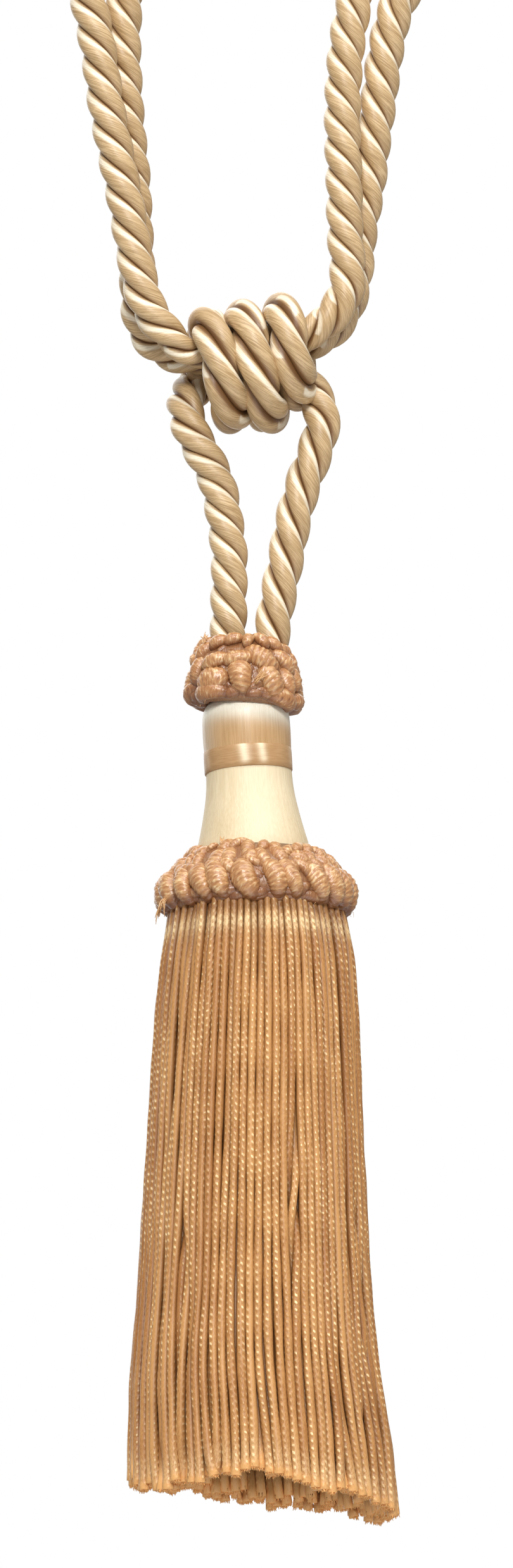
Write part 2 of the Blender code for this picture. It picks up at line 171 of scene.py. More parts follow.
def wander(rng: np.random.Generator, count: int, along: Array, wavelengths: tuple[float, ...]) -> Array:
    """Smooth unevenness: for each of count curves, a mean of sines with random phases and sizes.

    Args:
        rng: source of the phases and sizes.
        count: how many curves.
        along: places on the curves.
        wavelengths: of the sines, in the unit of along.

    Returns:
        Values, [curve, place].
    """
    phase = rng.uniform(0, FULL_TURN, (len(wavelengths), count, 1))
    size = rng.normal(0, 1, (len(wavelengths), count, 1))
    waves = np.array(wavelengths)[:, None, None]
    return (size * np.sin(FULL_TURN * along / waves + phase)).mean(0)


# ---------------------------------------------------------------- meshes from grids

@dataclass
class Grid:
    """A batch of like surfaces, each a grid of points that closes round its columns.

    Attributes:
        points: places in metres, [surface, row, column, xyz].
        marks: values kept on the points, by attribute name, [surface, row, column] or with xyz.
        ring: True if the last row joins the first, as on a hoop; otherwise both ends close in a pole.
    """

    points: Array
    marks: dict[str, Array] = field(default_factory=dict)
    ring: bool = False

    def corners(self, first: int) -> tuple[Array, Array, Array, Array]:
        """Faces and their cells.

        Args:
            first: number of the grid's first vertex in the mesh.

        Returns:
            Quads, their (face row, column) cells, pole triangles and their cells.
        """
        surfaces, rows, columns = self.points.shape[:3]
        number = first + np.arange(surfaces * rows * columns).reshape(surfaces, rows, columns)
        ahead = np.roll(number, -1, axis=2)
        low, low_next = (number, ahead) if self.ring else (number[:, :-1], ahead[:, :-1])
        high, high_next = (np.roll(x, -1, axis=1)[:, :low.shape[1]] for x in (number, ahead))
        quads = np.stack([low, low_next, high_next, high], axis=-1)
        face_rows = low.shape[1]
        per_surface = face_rows + (0 if self.ring else 2)
        row = np.arange(surfaces)[:, None] * per_surface + np.arange(face_rows) + (0 if self.ring else 1)
        cells = np.stack(np.broadcast_arrays(row[..., None], np.arange(columns)), axis=-1)
        if self.ring:
            return quads.reshape(-1, 4), cells.reshape(-1, 2), np.empty((0, 3), int), np.empty((0, 2), int)
        pole = first + number.size + np.arange(2 * surfaces).reshape(2, surfaces, 1) + 0 * number[:, 0]
        starts = np.stack([pole[0], ahead[:, 0], number[:, 0]], axis=-1)
        ends = np.stack([number[:, -1], ahead[:, -1], pole[1]], axis=-1)
        at = np.arange(surfaces)[:, None] * per_surface + np.array([[0], [per_surface - 1]])[:, None]
        pole_cells = np.stack(np.broadcast_arrays(at, np.arange(columns)), axis=-1)
        return (quads.reshape(-1, 4), cells.reshape(-1, 2),
                np.stack([starts, ends]).reshape(-1, 3), pole_cells.reshape(-1, 2))

    def with_poles(self, values: Array) -> Array:
        """Values of all vertices: the grid's own, then the mean of each end row for its pole.

        Args:
            values: [surface, row, column] or with xyz.

        Returns:
            One row for each vertex.
        """
        width = values.shape[3] if values.ndim == 4 else 1
        flat = values.reshape(-1, width)
        if self.ring:
            return flat
        poles = values[:, [0, -1]].mean(axis=2).swapaxes(0, 1).reshape(-1, width)
        return np.vstack([flat, poles])

    def face_rows(self) -> int:
        """Number of face rows over all surfaces, poles included."""
        surfaces, rows = self.points.shape[:2]
        return surfaces * (rows if self.ring else rows + 1)


@dataclass
class Skin:
    """Grids that become one mesh, with a bake map of side by side strips."""

    grids: list[Grid]

    def strip_rows(self) -> int:
        """Face rows in each strip of the bake map, so that it is about as fine across as along.

        Returns:
            The number of rows: the root of all rows times a surface's girth over a row's length.
        """
        grid = max(self.grids, key=lambda g: g.points.size)
        across = np.linalg.norm(np.diff(grid.points, axis=2), axis=-1).mean() * grid.points.shape[2]
        along = np.linalg.norm(np.diff(grid.points, axis=1), axis=-1).mean()
        total = sum(g.face_rows() for g in self.grids)
        return max(1, math.ceil(math.sqrt(total * across / along)))

    def mesh(self, name: str) -> bpy.types.Mesh:
        """The joined mesh, smooth, with its marks and its bake map.

        Args:
            name: the mesh's name.

        Returns:
            The new mesh.
        """
        spots, marks, loops, maps, sizes = [], {}, [], [], []
        first, row = 0, 0
        per_strip = self.strip_rows()
        strips = math.ceil(sum(g.face_rows() for g in self.grids) / per_strip)
        names = {mark for grid in self.grids for mark in grid.marks}
        for grid in self.grids:
            columns = grid.points.shape[2]
            quads, cells, poles, pole_cells = grid.corners(first)
            for faces, at in ((quads, cells), (poles, pole_cells)):
                where = row + at[:, 0]
                strip, level = np.divmod(where, per_strip)
                left, right = strip + at[:, 1] / columns, strip + (at[:, 1] + 1) / columns
                across = np.stack([left, right, right, left], axis=1)[:, :faces.shape[1]] / strips
                up = np.stack([level, level, level + 1, level + 1], axis=1)[:, :faces.shape[1]] / per_strip
                loops.append(faces.ravel())
                maps.append(np.stack([across, up], axis=-1).reshape(-1, 2))
                sizes.append(np.full(len(faces), faces.shape[1]))
            spots.append(grid.with_poles(grid.points))
            for mark in names:
                kept = grid.marks.get(mark, np.zeros(grid.points.shape[:3]))
                marks.setdefault(mark, []).append(grid.with_poles(kept))
            first += len(spots[-1])
            row += grid.face_rows()
        mesh = bpy.data.meshes.new(name)
        places, corners, sizes = np.vstack(spots), np.concatenate(loops), np.concatenate(sizes)
        mesh.vertices.add(len(places))
        mesh.vertices.foreach_set("co", places.astype(np.float32).ravel())
        mesh.loops.add(len(corners))
        mesh.loops.foreach_set("vertex_index", corners.astype(np.int32))
        mesh.polygons.add(len(sizes))
        mesh.polygons.foreach_set("loop_start", (np.cumsum(sizes) - sizes).astype(np.int32))
        mesh.update(calc_edges=True)
        bake_map = np.vstack(maps).astype(np.float32).ravel()
        mesh.uv_layers.new(name="OFBake").uv.foreach_set("vector", bake_map)
        for mark, parts in marks.items():
            values = np.vstack(parts).astype(np.float32)
            wide = values.shape[1] == 3
            layer = mesh.attributes.new(mark, "FLOAT_VECTOR" if wide else "FLOAT", "POINT")
            layer.data.foreach_set("vector" if wide else "value", values.ravel())
        mesh.shade_smooth()
        return mesh

    def piece(self, name: str, material: bpy.types.Material, slot: str, *replaced: str) -> bpy.types.Object:
        """Links the skin as a finished piece on the tieback's one body.

        Args:
            name: the piece's name.
            material: its finish.
            slot: not used.
            replaced: CAD nodes that it stands for.

        Returns:
            The new object.
        """
        mesh = self.mesh(name)
        mesh.materials.append(material)
        made = bpy.data.objects.new(name, mesh)
        bpy.context.scene.collection.objects.link(made)
        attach(made, "root")
        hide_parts(*replaced)
        log.info("%s: %d points, %d faces", name, len(mesh.vertices), len(mesh.polygons))
        return made


# ---------------------------------------------------------------- finishes

Colour = tuple[float, float, float]
Feed = float | Colour | bpy.types.NodeSocket


class Recipe:
    """One material's nodes, made and linked by short calls."""

    def __init__(self, name: str, roughness: float, gloss: float) -> None:
        """Starts from a Principled shader.

        Args:
            name: the material's name.
            roughness, gloss: values that are the same all over the surface.
        """
        self.material = bpy.data.materials.new(name)
        self.material.use_nodes = True
        self.tree = self.material.node_tree
        self.shader = self.tree.nodes["Principled BSDF"]
        self.feed(self.shader.inputs["Roughness"], roughness)
        self.feed(self.shader.inputs["Specular IOR Level"], gloss)

    def feed(self, socket: bpy.types.NodeSocket, value: Feed) -> None:
        """Links a socket to another, or sets its value.

        Args:
            socket: the input to feed.
            value: an output socket, or a number or colour.
        """
        if isinstance(value, bpy.types.NodeSocket):
            self.tree.links.new(value, socket)
        else:
            socket.default_value = value

    def node(self, kind: str, inputs: dict[int | str, Feed], **settings: object) -> bpy.types.Node:
        """A node with its settings and inputs.

        Args:
            kind: the node's type.
            inputs: what feeds each input, by its name or number.
            settings: the node's own properties.

        Returns:
            The new node.
        """
        made = self.tree.nodes.new(kind)
        for key, value in settings.items():
            setattr(made, key, value)
        for key, value in inputs.items():
            self.feed(made.inputs[key], value)
        return made

    def mark(self, name: str) -> bpy.types.Node:
        """The node that reads one of the piece's own attributes."""
        return self.node("ShaderNodeAttribute", {}, attribute_name=name)

    def number(self, name: str) -> bpy.types.NodeSocket:
        """The number that one of the piece's own attributes holds."""
        return self.mark(name).outputs["Fac"]

    def noise(self, name: str, stretch: Colour, detail: float = 2.0) -> bpy.types.NodeSocket:
        """Noise on a vector attribute whose axes are stretched.

        Args:
            name: the attribute.
            stretch: cells for each of its units, by axis.
            detail: how many finer noises are added.

        Returns:
            The noise, about 0.5.
        """
        at = self.node("ShaderNodeVectorMath", {0: self.mark(name).outputs["Vector"], 1: stretch},
                       operation="MULTIPLY")
        made = self.node("ShaderNodeTexNoise", {"Vector": at.outputs[0], "Scale": 1.0, "Detail": detail})
        return made.outputs["Fac"]

    def ease(self, value: Feed, low: float, high: float, start: float = 0.0,
             end: float = 1.0) -> bpy.types.NodeSocket:
        """Smooth step of a value.

        Args:
            value: what is stepped.
            low, high: the values where the step begins and ends; low may be the greater.
            start, end: what the step gives there.

        Returns:
            The stepped value.
        """
        made = self.node("ShaderNodeMapRange", {0: value, 1: low, 2: high, 3: start, 4: end},
                         interpolation_type="SMOOTHSTEP")
        return made.outputs[0]

    def calc(self, operation: str, a: Feed, b: Feed = 0.0) -> bpy.types.NodeSocket:
        """One or two numbers put through a Math node."""
        return self.node("ShaderNodeMath", {0: a, 1: b}, operation=operation).outputs[0]

    def plus(self, a: Feed, b: Feed) -> bpy.types.NodeSocket:
        """Two numbers added."""
        return self.calc("ADD", a, b)

    def times(self, a: Feed, b: Feed) -> bpy.types.NodeSocket:
        """Two numbers multiplied."""
        return self.calc("MULTIPLY", a, b)

    def mix(self, share: Feed, first: Feed, second: Feed) -> bpy.types.NodeSocket:
        """Two colours mixed, by the share of the second."""
        first, second = ((*c, 1.0) if isinstance(c, tuple) else c for c in (first, second))
        return self.node("ShaderNodeMix", {0: share, 6: first, 7: second}, data_type="RGBA").outputs[2]

    def finish(self, colour: Feed, height: Feed, relief: float) -> bpy.types.Material:
        """Sets the colour and a bump.

        Args:
            colour: the surface's colour.
            height: the relief's height, from 0 to 1.
            relief: how high 1 stands, in metres.

        Returns:
            The finished material.
        """
        bump = self.node("ShaderNodeBump", {"Height": height, "Distance": relief, "Strength": 1.0})
        self.feed(self.shader.inputs["Base Color"], colour)
        self.feed(self.shader.inputs["Normal"], bump.outputs[0])
        return self.material


@dataclass(frozen=True)
class FlossFinish:
    """Lustrous floss laid in plies: fine threads, paler crowns, a painted highlight along each ply's upper
    side, and painted shade on its lower side and in the grooves.

    It reads laid (millimetres along and across the straightened ply), depth (0 on the rope's
    outside, 0.5 between plies; deep places get painted shade) and flank (0 on a ply's crown, 1 on its upper
    side, -1 on its lower side; it places the painted highlight and shade).
    """

    crown: Colour = (0.74, 0.530, 0.290)
    shade: Colour = (0.42, 0.265, 0.118)
    # The groove colour is painted shade, for the grooves and each ply's lower side; the ridge colour is a
    # painted highlight along each ply's upper side.
    groove_shade: Colour = (0.20, 0.092, 0.030)
    ridge_highlight: Colour = (1.00, 0.90, 0.70)
    roughness: float = 0.40
    gloss: float = 0.7
    relief: float = 0.08 * MM

    def material(self, name: str) -> bpy.types.Material:
        """Builds the material.

        Args:
            name: the material's name.

        Returns:
            The new material.
        """
        recipe = Recipe(name, self.roughness, self.gloss)
        ease, mix = recipe.ease, recipe.mix
        threads = recipe.noise("laid", (0.22, 4.6, 4.6), 3.0)
        cloud = recipe.noise("laid", (0.12, 0.35, 0.35))
        depth, flank = recipe.number("depth"), recipe.number("flank")
        body = mix(ease(threads, 0.34, 0.66), self.shade, self.crown)
        warm = mix(ease(cloud, 0.3, 0.7, 0.0, 0.4), body, self.shade)
        # Painted highlight along each ply's upper side, broken by the threads.
        lip = recipe.times(ease(flank, 0.26, 0.50), ease(flank, 0.84, 0.68))
        highlight_share = recipe.times(lip, ease(threads, 0.25, 0.6, 0.45, 0.9))
        highlighted = mix(highlight_share, warm, self.ridge_highlight)
        # Painted shade on each ply's lower side.
        under = mix(ease(flank, -0.50, -1.0, 0.0, 0.35), highlighted, self.groove_shade)
        # Painted shade in the grooves, where the depth is high.
        colour = mix(ease(depth, 0.15, 0.30), under, self.groove_shade)
        return recipe.finish(colour, threads, self.relief)


@dataclass(frozen=True)
class GimpFinish:
    """Floss wound round a core: ribs across the coil, broken by fine threads, with painted glints on the
    threads and painted shade between the ribs and under the loops.

    It reads laid, rib (1 on a rib's crown, 0 between ribs), tone (-1 to 1 for each loop) and deep
    (painted shade: more where a point lies further under the ruff's surface, 0.75 on the core).
    """

    crown: Colour = (0.72, 0.418, 0.180)
    shade: Colour = (0.44, 0.190, 0.068)
    # The glint colour is a painted highlight on the threads; the gap colour is painted shade between the
    # ribs, under the loops and on the core.
    glint: Colour = (1.00, 0.82, 0.50)
    gap: Colour = (0.20, 0.068, 0.024)
    roughness: float = 0.33
    gloss: float = 0.9
    relief: float = 0.22 * MM

    def material(self, name: str) -> bpy.types.Material:
        """Builds the material.

        Args:
            name: the material's name.

        Returns:
            The new material.
        """
        recipe = Recipe(name, self.roughness, self.gloss)
        ease, mix = recipe.ease, recipe.mix
        threads = recipe.noise("laid", (2.3, 0.50, 0.50), 3.0)
        patch = recipe.noise("laid", (0.35, 0.4, 0.4))
        raised = recipe.plus(recipe.times(recipe.number("rib"), 0.35), threads)
        # Paler on rib crowns and thread streaks: partly thread texture, partly painted shade between the
        # ribs.
        body = mix(ease(raised, 0.42, 0.85), self.shade, self.crown)
        # Painted glints on the threads.
        lit = mix(ease(threads, 0.54, 0.72, 0.0, 0.55), body, self.glint)
        # Painted shade low between the ribs.
        colour = mix(ease(raised, 0.44, 0.26), lit, self.gap)
        tone = ease(recipe.number("tone"), 1.0, -1.0, 0.0, 0.35)
        wear = recipe.plus(tone, ease(patch, 0.45, 0.75, 0.0, 0.4))
        worn = mix(wear, colour, self.shade)
        # The deep mark paints shade under the loops and on the core.
        return recipe.finish(mix(recipe.number("deep"), worn, self.gap), raised, self.relief)


@dataclass(frozen=True)
class SatinFinish:
    """Satin thread laid side by side down a mould, or a satin ribbon round it.

    It reads laid and pale (1 where the painted highlight is strongest).
    """

    light: Colour
    dark: Colour
    highlight_colour: Colour
    stretch: Colour = (0.06, 3.6, 3.6)
    roughness: float = 0.36
    gloss: float = 0.35
    relief: float = 0.04 * MM

    def material(self, name: str) -> bpy.types.Material:
        """Builds the material.

        Args:
            name: the material's name.

        Returns:
            The new material.
        """
        recipe = Recipe(name, self.roughness, self.gloss)
        ease = recipe.ease
        threads = recipe.noise("laid", self.stretch, 3.0)
        cloud = recipe.noise("laid", (0.08, 0.2, 0.2))
        share = recipe.plus(ease(threads, 0.3, 0.7, 0.0, 0.6), ease(cloud, 0.3, 0.7, 0.0, 0.4))
        body = recipe.mix(share, self.dark, self.light)
        # The pale mark is a painted highlight, broken a little by the threads.
        pale = recipe.times(recipe.number("pale"), ease(threads, 0.2, 0.8, 0.80, 1.0))
        return recipe.finish(recipe.mix(pale, body, self.highlight_colour), threads, self.relief)


@dataclass(frozen=True)
class ChainetteFinish:
    """Knitted cord: staggered stitch crowns with a painted highlight on a gold ground, and painted shade
    between the stitches.

    A stitch is where a slanting wave along the cord is high on its front or back, with a fainter
    column a sixth of a turn away whose stitches lie between those of the first. It reads laid
    (millimetres along, then cosine and sine of the knit's angle), tone (-1 to 1 for each cord),
    sunk (painted shade, up to 0.8: deep inside the skirt, beside neighbouring cords and just under the
    ruff), lit (painted light: a band where the cords swell out under the ruff, and a weaker one near the
    cut) and tip (1 at the cut).
    """

    pale: Colour = (0.61, 0.312, 0.107)
    deep: Colour = (0.385, 0.158, 0.042)
    # The valley and hollow colours are painted shade, between the stitches and inside the skirt; the stitch
    # colour is a painted highlight on the stitch crowns; the tip colour is the cut's own, and on the inner
    # rings painted light.
    valley_shade: Colour = (0.27, 0.105, 0.028)
    stitch: Colour = (0.98, 0.74, 0.40)
    tip: Colour = (1.00, 0.53, 0.19)
    inside_shade: Colour = (0.19, 0.070, 0.018)
    stitch_length: float = 1.95
    roughness: float = 0.42
    gloss: float = 0.4
    relief: float = 0.11 * MM

    def material(self, name: str) -> bpy.types.Material:
        """Builds the material.

        Args:
            name: the material's name.

        Returns:
            The new material.
        """
        recipe = Recipe(name, self.roughness, self.gloss)
        ease, mix, plus, times = recipe.ease, recipe.mix, recipe.plus, recipe.times
        laid = recipe.node("ShaderNodeSeparateXYZ", {0: recipe.mark("laid").outputs["Vector"]})
        run, front, across = laid.outputs
        along = times(run, FULL_TURN / self.stitch_length)
        wave = recipe.calc("COSINE", plus(along, times(across, 2.0)))
        main = ease(recipe.calc("ABSOLUTE", front), 0.88, 0.97)
        beside = plus(times(front, 0.5), times(across, 0.866))
        second = ease(recipe.calc("ABSOLUTE", beside), 0.91, 0.98, 0.0, -0.8)
        knit = times(plus(main, second), wave)
        threads = recipe.noise("laid", (1.3, 5.5, 5.5), 4.0)
        cloud = recipe.noise("laid", (0.07, 0.5, 0.5))
        mixed = plus(recipe.number("tone"), ease(cloud, 0.3, 0.7, -0.5, 0.5))
        speckled = plus(mixed, ease(threads, 0.3, 0.7, -0.7, 0.7))
        body = mix(ease(speckled, -1.5, 1.5), self.deep, self.pale)
        # Painted shade low between the stitches.
        grooved = mix(ease(knit, -0.35, -1.0, 0.0, 0.30), body, self.valley_shade)
        shown = ease(cloud, 0.36, 0.60, 0.25, 1.0)
        single = ease(recipe.noise("laid", (0.5, 0.8, 0.8), 0.0), 0.34, 0.50, 0.5, 1.0)
        lit_band = recipe.number("lit")
        # The stitch crowns take the stitch colour as a painted highlight.
        crowns = ease(plus(knit, times(lit_band, 0.5)), 0.25, 0.75)
        dots = times(crowns, recipe.calc("MAXIMUM", times(shown, single), lit_band))
        stitched = mix(times(dots, ease(threads, 0.32, 0.55, 0.3, 1.0)), grooved, self.stitch)
        # Painted light: the lit band under the ruff and near the cut.
        lit = times(ease(threads, 0.3, 0.6, 0.05, 0.5), lit_band)
        # The cut ends take the tip colour; on the inner rings it reaches 5 mm up as painted light.
        ended = mix(recipe.number("tip"), mix(lit, stitched, self.stitch), self.tip)
        # Painted shade inside the skirt, between cords and under the ruff.
        colour = mix(recipe.number("sunk"), ended, self.inside_shade)
        return recipe.finish(colour, plus(times(knit, 0.5), times(threads, 0.5)), self.relief)


# ---------------------------------------------------------------- rope

class Facing(Enum):
    """The direction that a rope's sides are measured from: never along the rope."""

    FRONT_TO_BACK = (0.0, 1.0, 0.0)
    LEFT_TO_RIGHT = (1.0, 0.0, 0.0)


LEFT_REAR_RUN = [
    (-0.5, 4.2, -151.2, 0.64), (-7.0, 4.2, -151.3, 0.64), (-14.0, 4.0, -151.8, 0.68),
    (-18.0, 3.9, -151.4, 0.78), (-23.0, 4.4, -149.4, 0.94), (-28.0, 5.1, -145.3, 1),
    (-30.9, 5.3, -138.5, 1), (-31.5, 5.3, -129.0, 1), (-32.3, 5.3, -114.0, 1),
    (-32.9, 5.1, -102.0, 1), (-34.2, 4.8, -89.0, 1), (-35.1, 4.4, -76.0, 1),
    (-35.4, 3.8, -62.0, 1), (-34.2, 2.6, -49.0, 1), (-30.4, 1.2, -36.0, 1),
]
LEFT_FRONT_RUN = [
    (-54.2, -1.4, -33.5, 1), (-47.0, -2.8, -47.0, 1), (-43.6, -3.8, -60.0, 1),
    (-41.6, -4.3, -71.0, 1), (-39.8, -4.7, -83.9, 1), (-37.2, -5.0, -97.5, 1),
    (-34.5, -5.2, -111.1, 1), (-32.2, -5.3, -124.7, 1), (-30.9, -5.3, -131.5, 1),
    (-28.9, -5.3, -138.3, 1), (-25.5, -5.1, -143.6, 0.97), (-22.0, -4.8, -147.4, 0.88),
    (-18.0, -4.4, -151.1, 0.76), (-14.0, -4.2, -151.9, 0.68), (-7.0, -4.2, -151.3, 0.64),
    (-0.5, -4.2, -151.2, 0.64),
]
RIGHT_FRONT_RUN = [
    (0.5, -4.2, -151.1, 0.64), (4.5, -4.2, -150.4, 0.64), (9.0, -4.3, -148.9, 0.66),
    (13.3, -4.6, -146.6, 0.8), (16.7, -5.0, -144.2, 0.92), (20.3, -5.2, -140.6, 1),
    (23.2, -5.3, -135.9, 1), (24.1, -5.3, -130.6, 1), (23.7, -5.3, -124.0, 1),
    (23.3, -5.1, -116.0, 1), (23.1, -4.5, -104.0, 1), (22.7, -3.4, -90.5, 1),
    (23.0, -2.2, -77.0, 1), (24.2, -1.4, -64.5, 1), (26.2, -0.8, -52.5, 1),
    (26.4, -0.3, -40.0, 1), (25.2, 0.0, -27.5, 1),
]
RIGHT_REAR_RUN = [
    (52.4, 0.3, -31.5, 1), (42.6, 1.0, -46.5, 1), (37.0, 1.6, -56.5, 1),
    (34.0, 2.4, -69.0, 1), (32.3, 3.1, -81.5, 1), (30.9, 3.8, -91.0, 1),
    (29.5, 4.6, -102.6, 1), (27.2, 5.2, -116.0, 1), (25.9, 5.4, -128.0, 1),
    (23.9, 5.4, -136.4, 1), (20.6, 5.2, -142.1, 0.97), (17.2, 5.0, -145.4, 0.9),
    (13.3, 4.7, -147.4, 0.78), (9.0, 4.3, -148.9, 0.66), (4.5, 4.2, -150.4, 0.64),
    (0.5, 4.2, -151.1, 0.64),
]
LEFT_LEG_RUN = [
    (-7.9, 0, -242.5, 1), (-7.9, 0, -234.0, 1), (-7.4, 0, -224.0, 1),
    (-7.3, 0, -214.0, 1), (-7.2, 0, -205.0, 1), (-8.4, 0, -195.0, 1),
    (-10.5, 0, -184.8, 1), (-13.7, 0, -178.0, 1), (-16.6, 0.5, -172.6, 1),
    (-18.4, 2.2, -167.4, 1), (-18.9, 5.4, -162.8, 1), (-18.2, 9.8, -159.4, 1),
]
RIGHT_LEG_RUN = [
    (2.7, 0, -241.9, 1), (2.9, 0, -234.0, 1), (4.1, 0, -225.0, 1),
    (6.0, 0, -214.0, 1), (7.8, 0, -205.0, 1), (9.7, 0, -195.0, 1),
    (12.5, 0, -184.8, 1), (15.2, 0, -177.5, 1), (17.0, 0, -171.2, 1),
    (17.2, 0.5, -167.0, 1), (16.2, 1.3, -162.5, 0.95), (14.2, 1.6, -158.5, 0.85),
    (11.5, 1.2, -155.6, 0.7), (7.5, 0, -154.2, 0.55), (1.0, 0, -155.3, 0.52),
]


@dataclass
class Rope:
    """Three plies laid round each other to the right, so that they show as backslashes.

    Attributes:
        name: the piece's name.
        stops: x, y, z in millimetres and the share of full thickness.
        facing: the direction that the sides are measured from.
        lays: share of the rope's length, and the length there in which a ply goes once round.
        start: how far round the first ply starts.
        replaced: CAD nodes that the rope stands for.
    """

    name: str
    stops: Array
    facing: Facing
    lays: tuple[tuple[float, float], ...]
    start: float
    replaced: tuple[str, ...]
    radius: float = 5.0
    plies: int = 3
    step: float = 0.9
    columns: int = 18
    ply_out: float = 0.53          # of the rope's radius, from its middle to a ply's middle
    ply_depth: float = 0.47        # of the rope's radius, half a ply's size outwards
    ply_width: float = 0.51        # and sideways
    thread_slope: float = 0.32     # how far the threads slope against the lay
    flank_edge: float = 8.0        # how quickly the upper side of a ply becomes its lower side
    pattern_gap: float = 20.0      # keeps one ply's threads from repeating the next one's

    def plies_grid(self, route: Array) -> Grid:
        """The plies' surfaces: an ellipse carried along a helix round the rope's own line.

        Args:
            route: rows of x, y, z and the share of full thickness.

        Returns:
            One surface for each ply.
        """
        path, thick = route[:, :3], route[:, 3]
        _, side, cross = frames(path, np.array(self.facing.value))
        run = lengths_along(path)
        lay = np.interp(run / run[-1], *np.array(self.lays).T)
        twist = FULL_TURN * np.cumsum(np.gradient(run) / lay)
        turn = (self.start - twist + around(self.plies)[:, None])[..., None]
        outward = np.cos(turn) * side + np.sin(turn) * cross
        radius = self.radius * thick
        middles = path + outward * (self.ply_out * radius)[:, None]
        _, ply_side, ply_cross = frames(middles, outward)
        angle = around(self.columns)
        depth = radius[:, None] * self.ply_depth * np.cos(angle)
        width = radius[:, None] * self.ply_width * np.sin(angle)
        points = sweep(middles, ply_side, ply_cross, depth + 0 * turn, width + 0 * turn)
        reach = np.linalg.norm(points - path[:, None], axis=-1) / radius[:, None]
        along = lengths_along(middles)[..., None] + 0 * angle
        thread_radius = self.radius * self.ply_width
        skew = angle + self.thread_slope * along / thread_radius
        laid = np.stack([along, thread_radius * np.cos(skew), thread_radius * np.sin(skew)], axis=-1)
        laid[..., 1] += self.pattern_gap * np.arange(self.plies)[:, None, None]
        # The flank mark tells which side of a ply faces up: the floss paints a highlight on the upper side
        # and shade on the lower side.
        signed = (angle + math.pi) % FULL_TURN - math.pi
        flank = signed / (math.pi / 2) * np.tanh(self.flank_edge * ply_cross[..., 2:])
        return Grid(points * MM, {"laid": laid, "depth": 1 - reach, "flank": flank})

    def build(self, material: bpy.types.Material) -> bpy.types.Object:
        """Args:
            material: its finish.

        Returns:
            The new piece.
        """
        route = smooth_route(self.stops, self.step)
        made = Skin([self.plies_grid(route)]).piece(self.name, material, "rope", *self.replaced)
        path = route[:, :3] * MM
        float(lengths_along(path)[-1])
        return made


@dataclass
class Knot:
    """The three turns that bind the arms: rounded squares that step from left to right."""

    tops: Array = table((-13.2, -142.9), (-4.0, -141.2), (6.3, -139.6), (13.0, -141.0))
    bottoms: Array = table((-17.3, -163.2), (-6.5, -165.9), (3.0, -166.2), (11.0, -159.6))
    half_depth: float = 13.0
    squareness: float = 2.6
    pinch: float = 0.94
    thickness: float = 1.07
    fullness: float = 0.05         # how much thicker the rope is at the bottoms
    start: float = -105.0          # degrees past the first top where the wraps begin
    end: float = 1035.0            # and where the tucked end stops
    every: float = 20.0
    tuck_start: float = 920.0      # degrees where the end begins to go inside
    tuck_over: float = 110.0
    tuck_in: float = 0.35          # share of the depth that it loses
    tuck_thinner: float = 0.45     # and of its thickness

    def stops(self) -> Array:
        """Stops of the wrapping rope, each 20 degrees of turn.

        x eases by a cosine between the places over the top and under the bottom, y is minus the
        half depth times the rounded sine, and z runs by the rounded cosine between the two heights.

        Returns:
            Rows of x, y, z and the share of full thickness.
        """
        turn = np.radians(np.arange(self.start, self.end + 1, self.every))
        lap, angle = np.divmod(turn, FULL_TURN)
        lap = lap.astype(int)
        falling = angle <= math.pi
        top = self.tops[np.where(falling, lap, lap + 1)]
        bottom = self.bottoms[lap + 1]
        ease = (1 + np.cos(angle)) / 2
        x = bottom[:, 0] + (top[:, 0] - bottom[:, 0]) * ease
        rounded = 2 / self.squareness
        y = -self.half_depth * np.sign(np.sin(angle)) * np.abs(np.sin(angle)) ** rounded
        height = np.sign(np.cos(angle)) * np.abs(np.cos(angle)) ** rounded
        z = (top[:, 1] + bottom[:, 1]) / 2 + (top[:, 1] - bottom[:, 1]) / 2 * height
        thick = self.thickness * (self.pinch + (1 - self.pinch) * np.abs(np.sin(angle)) ** 1.5
                                  + (self.fullness + 1 - self.pinch) * np.clip(-np.cos(angle), 0, 1) ** 2)
        last = np.clip((np.degrees(turn) - self.tuck_start) / self.tuck_over, 0, 1)
        return np.column_stack([x, y * (1 - self.tuck_in * last), z, thick * (1 - self.tuck_thinner * last)])


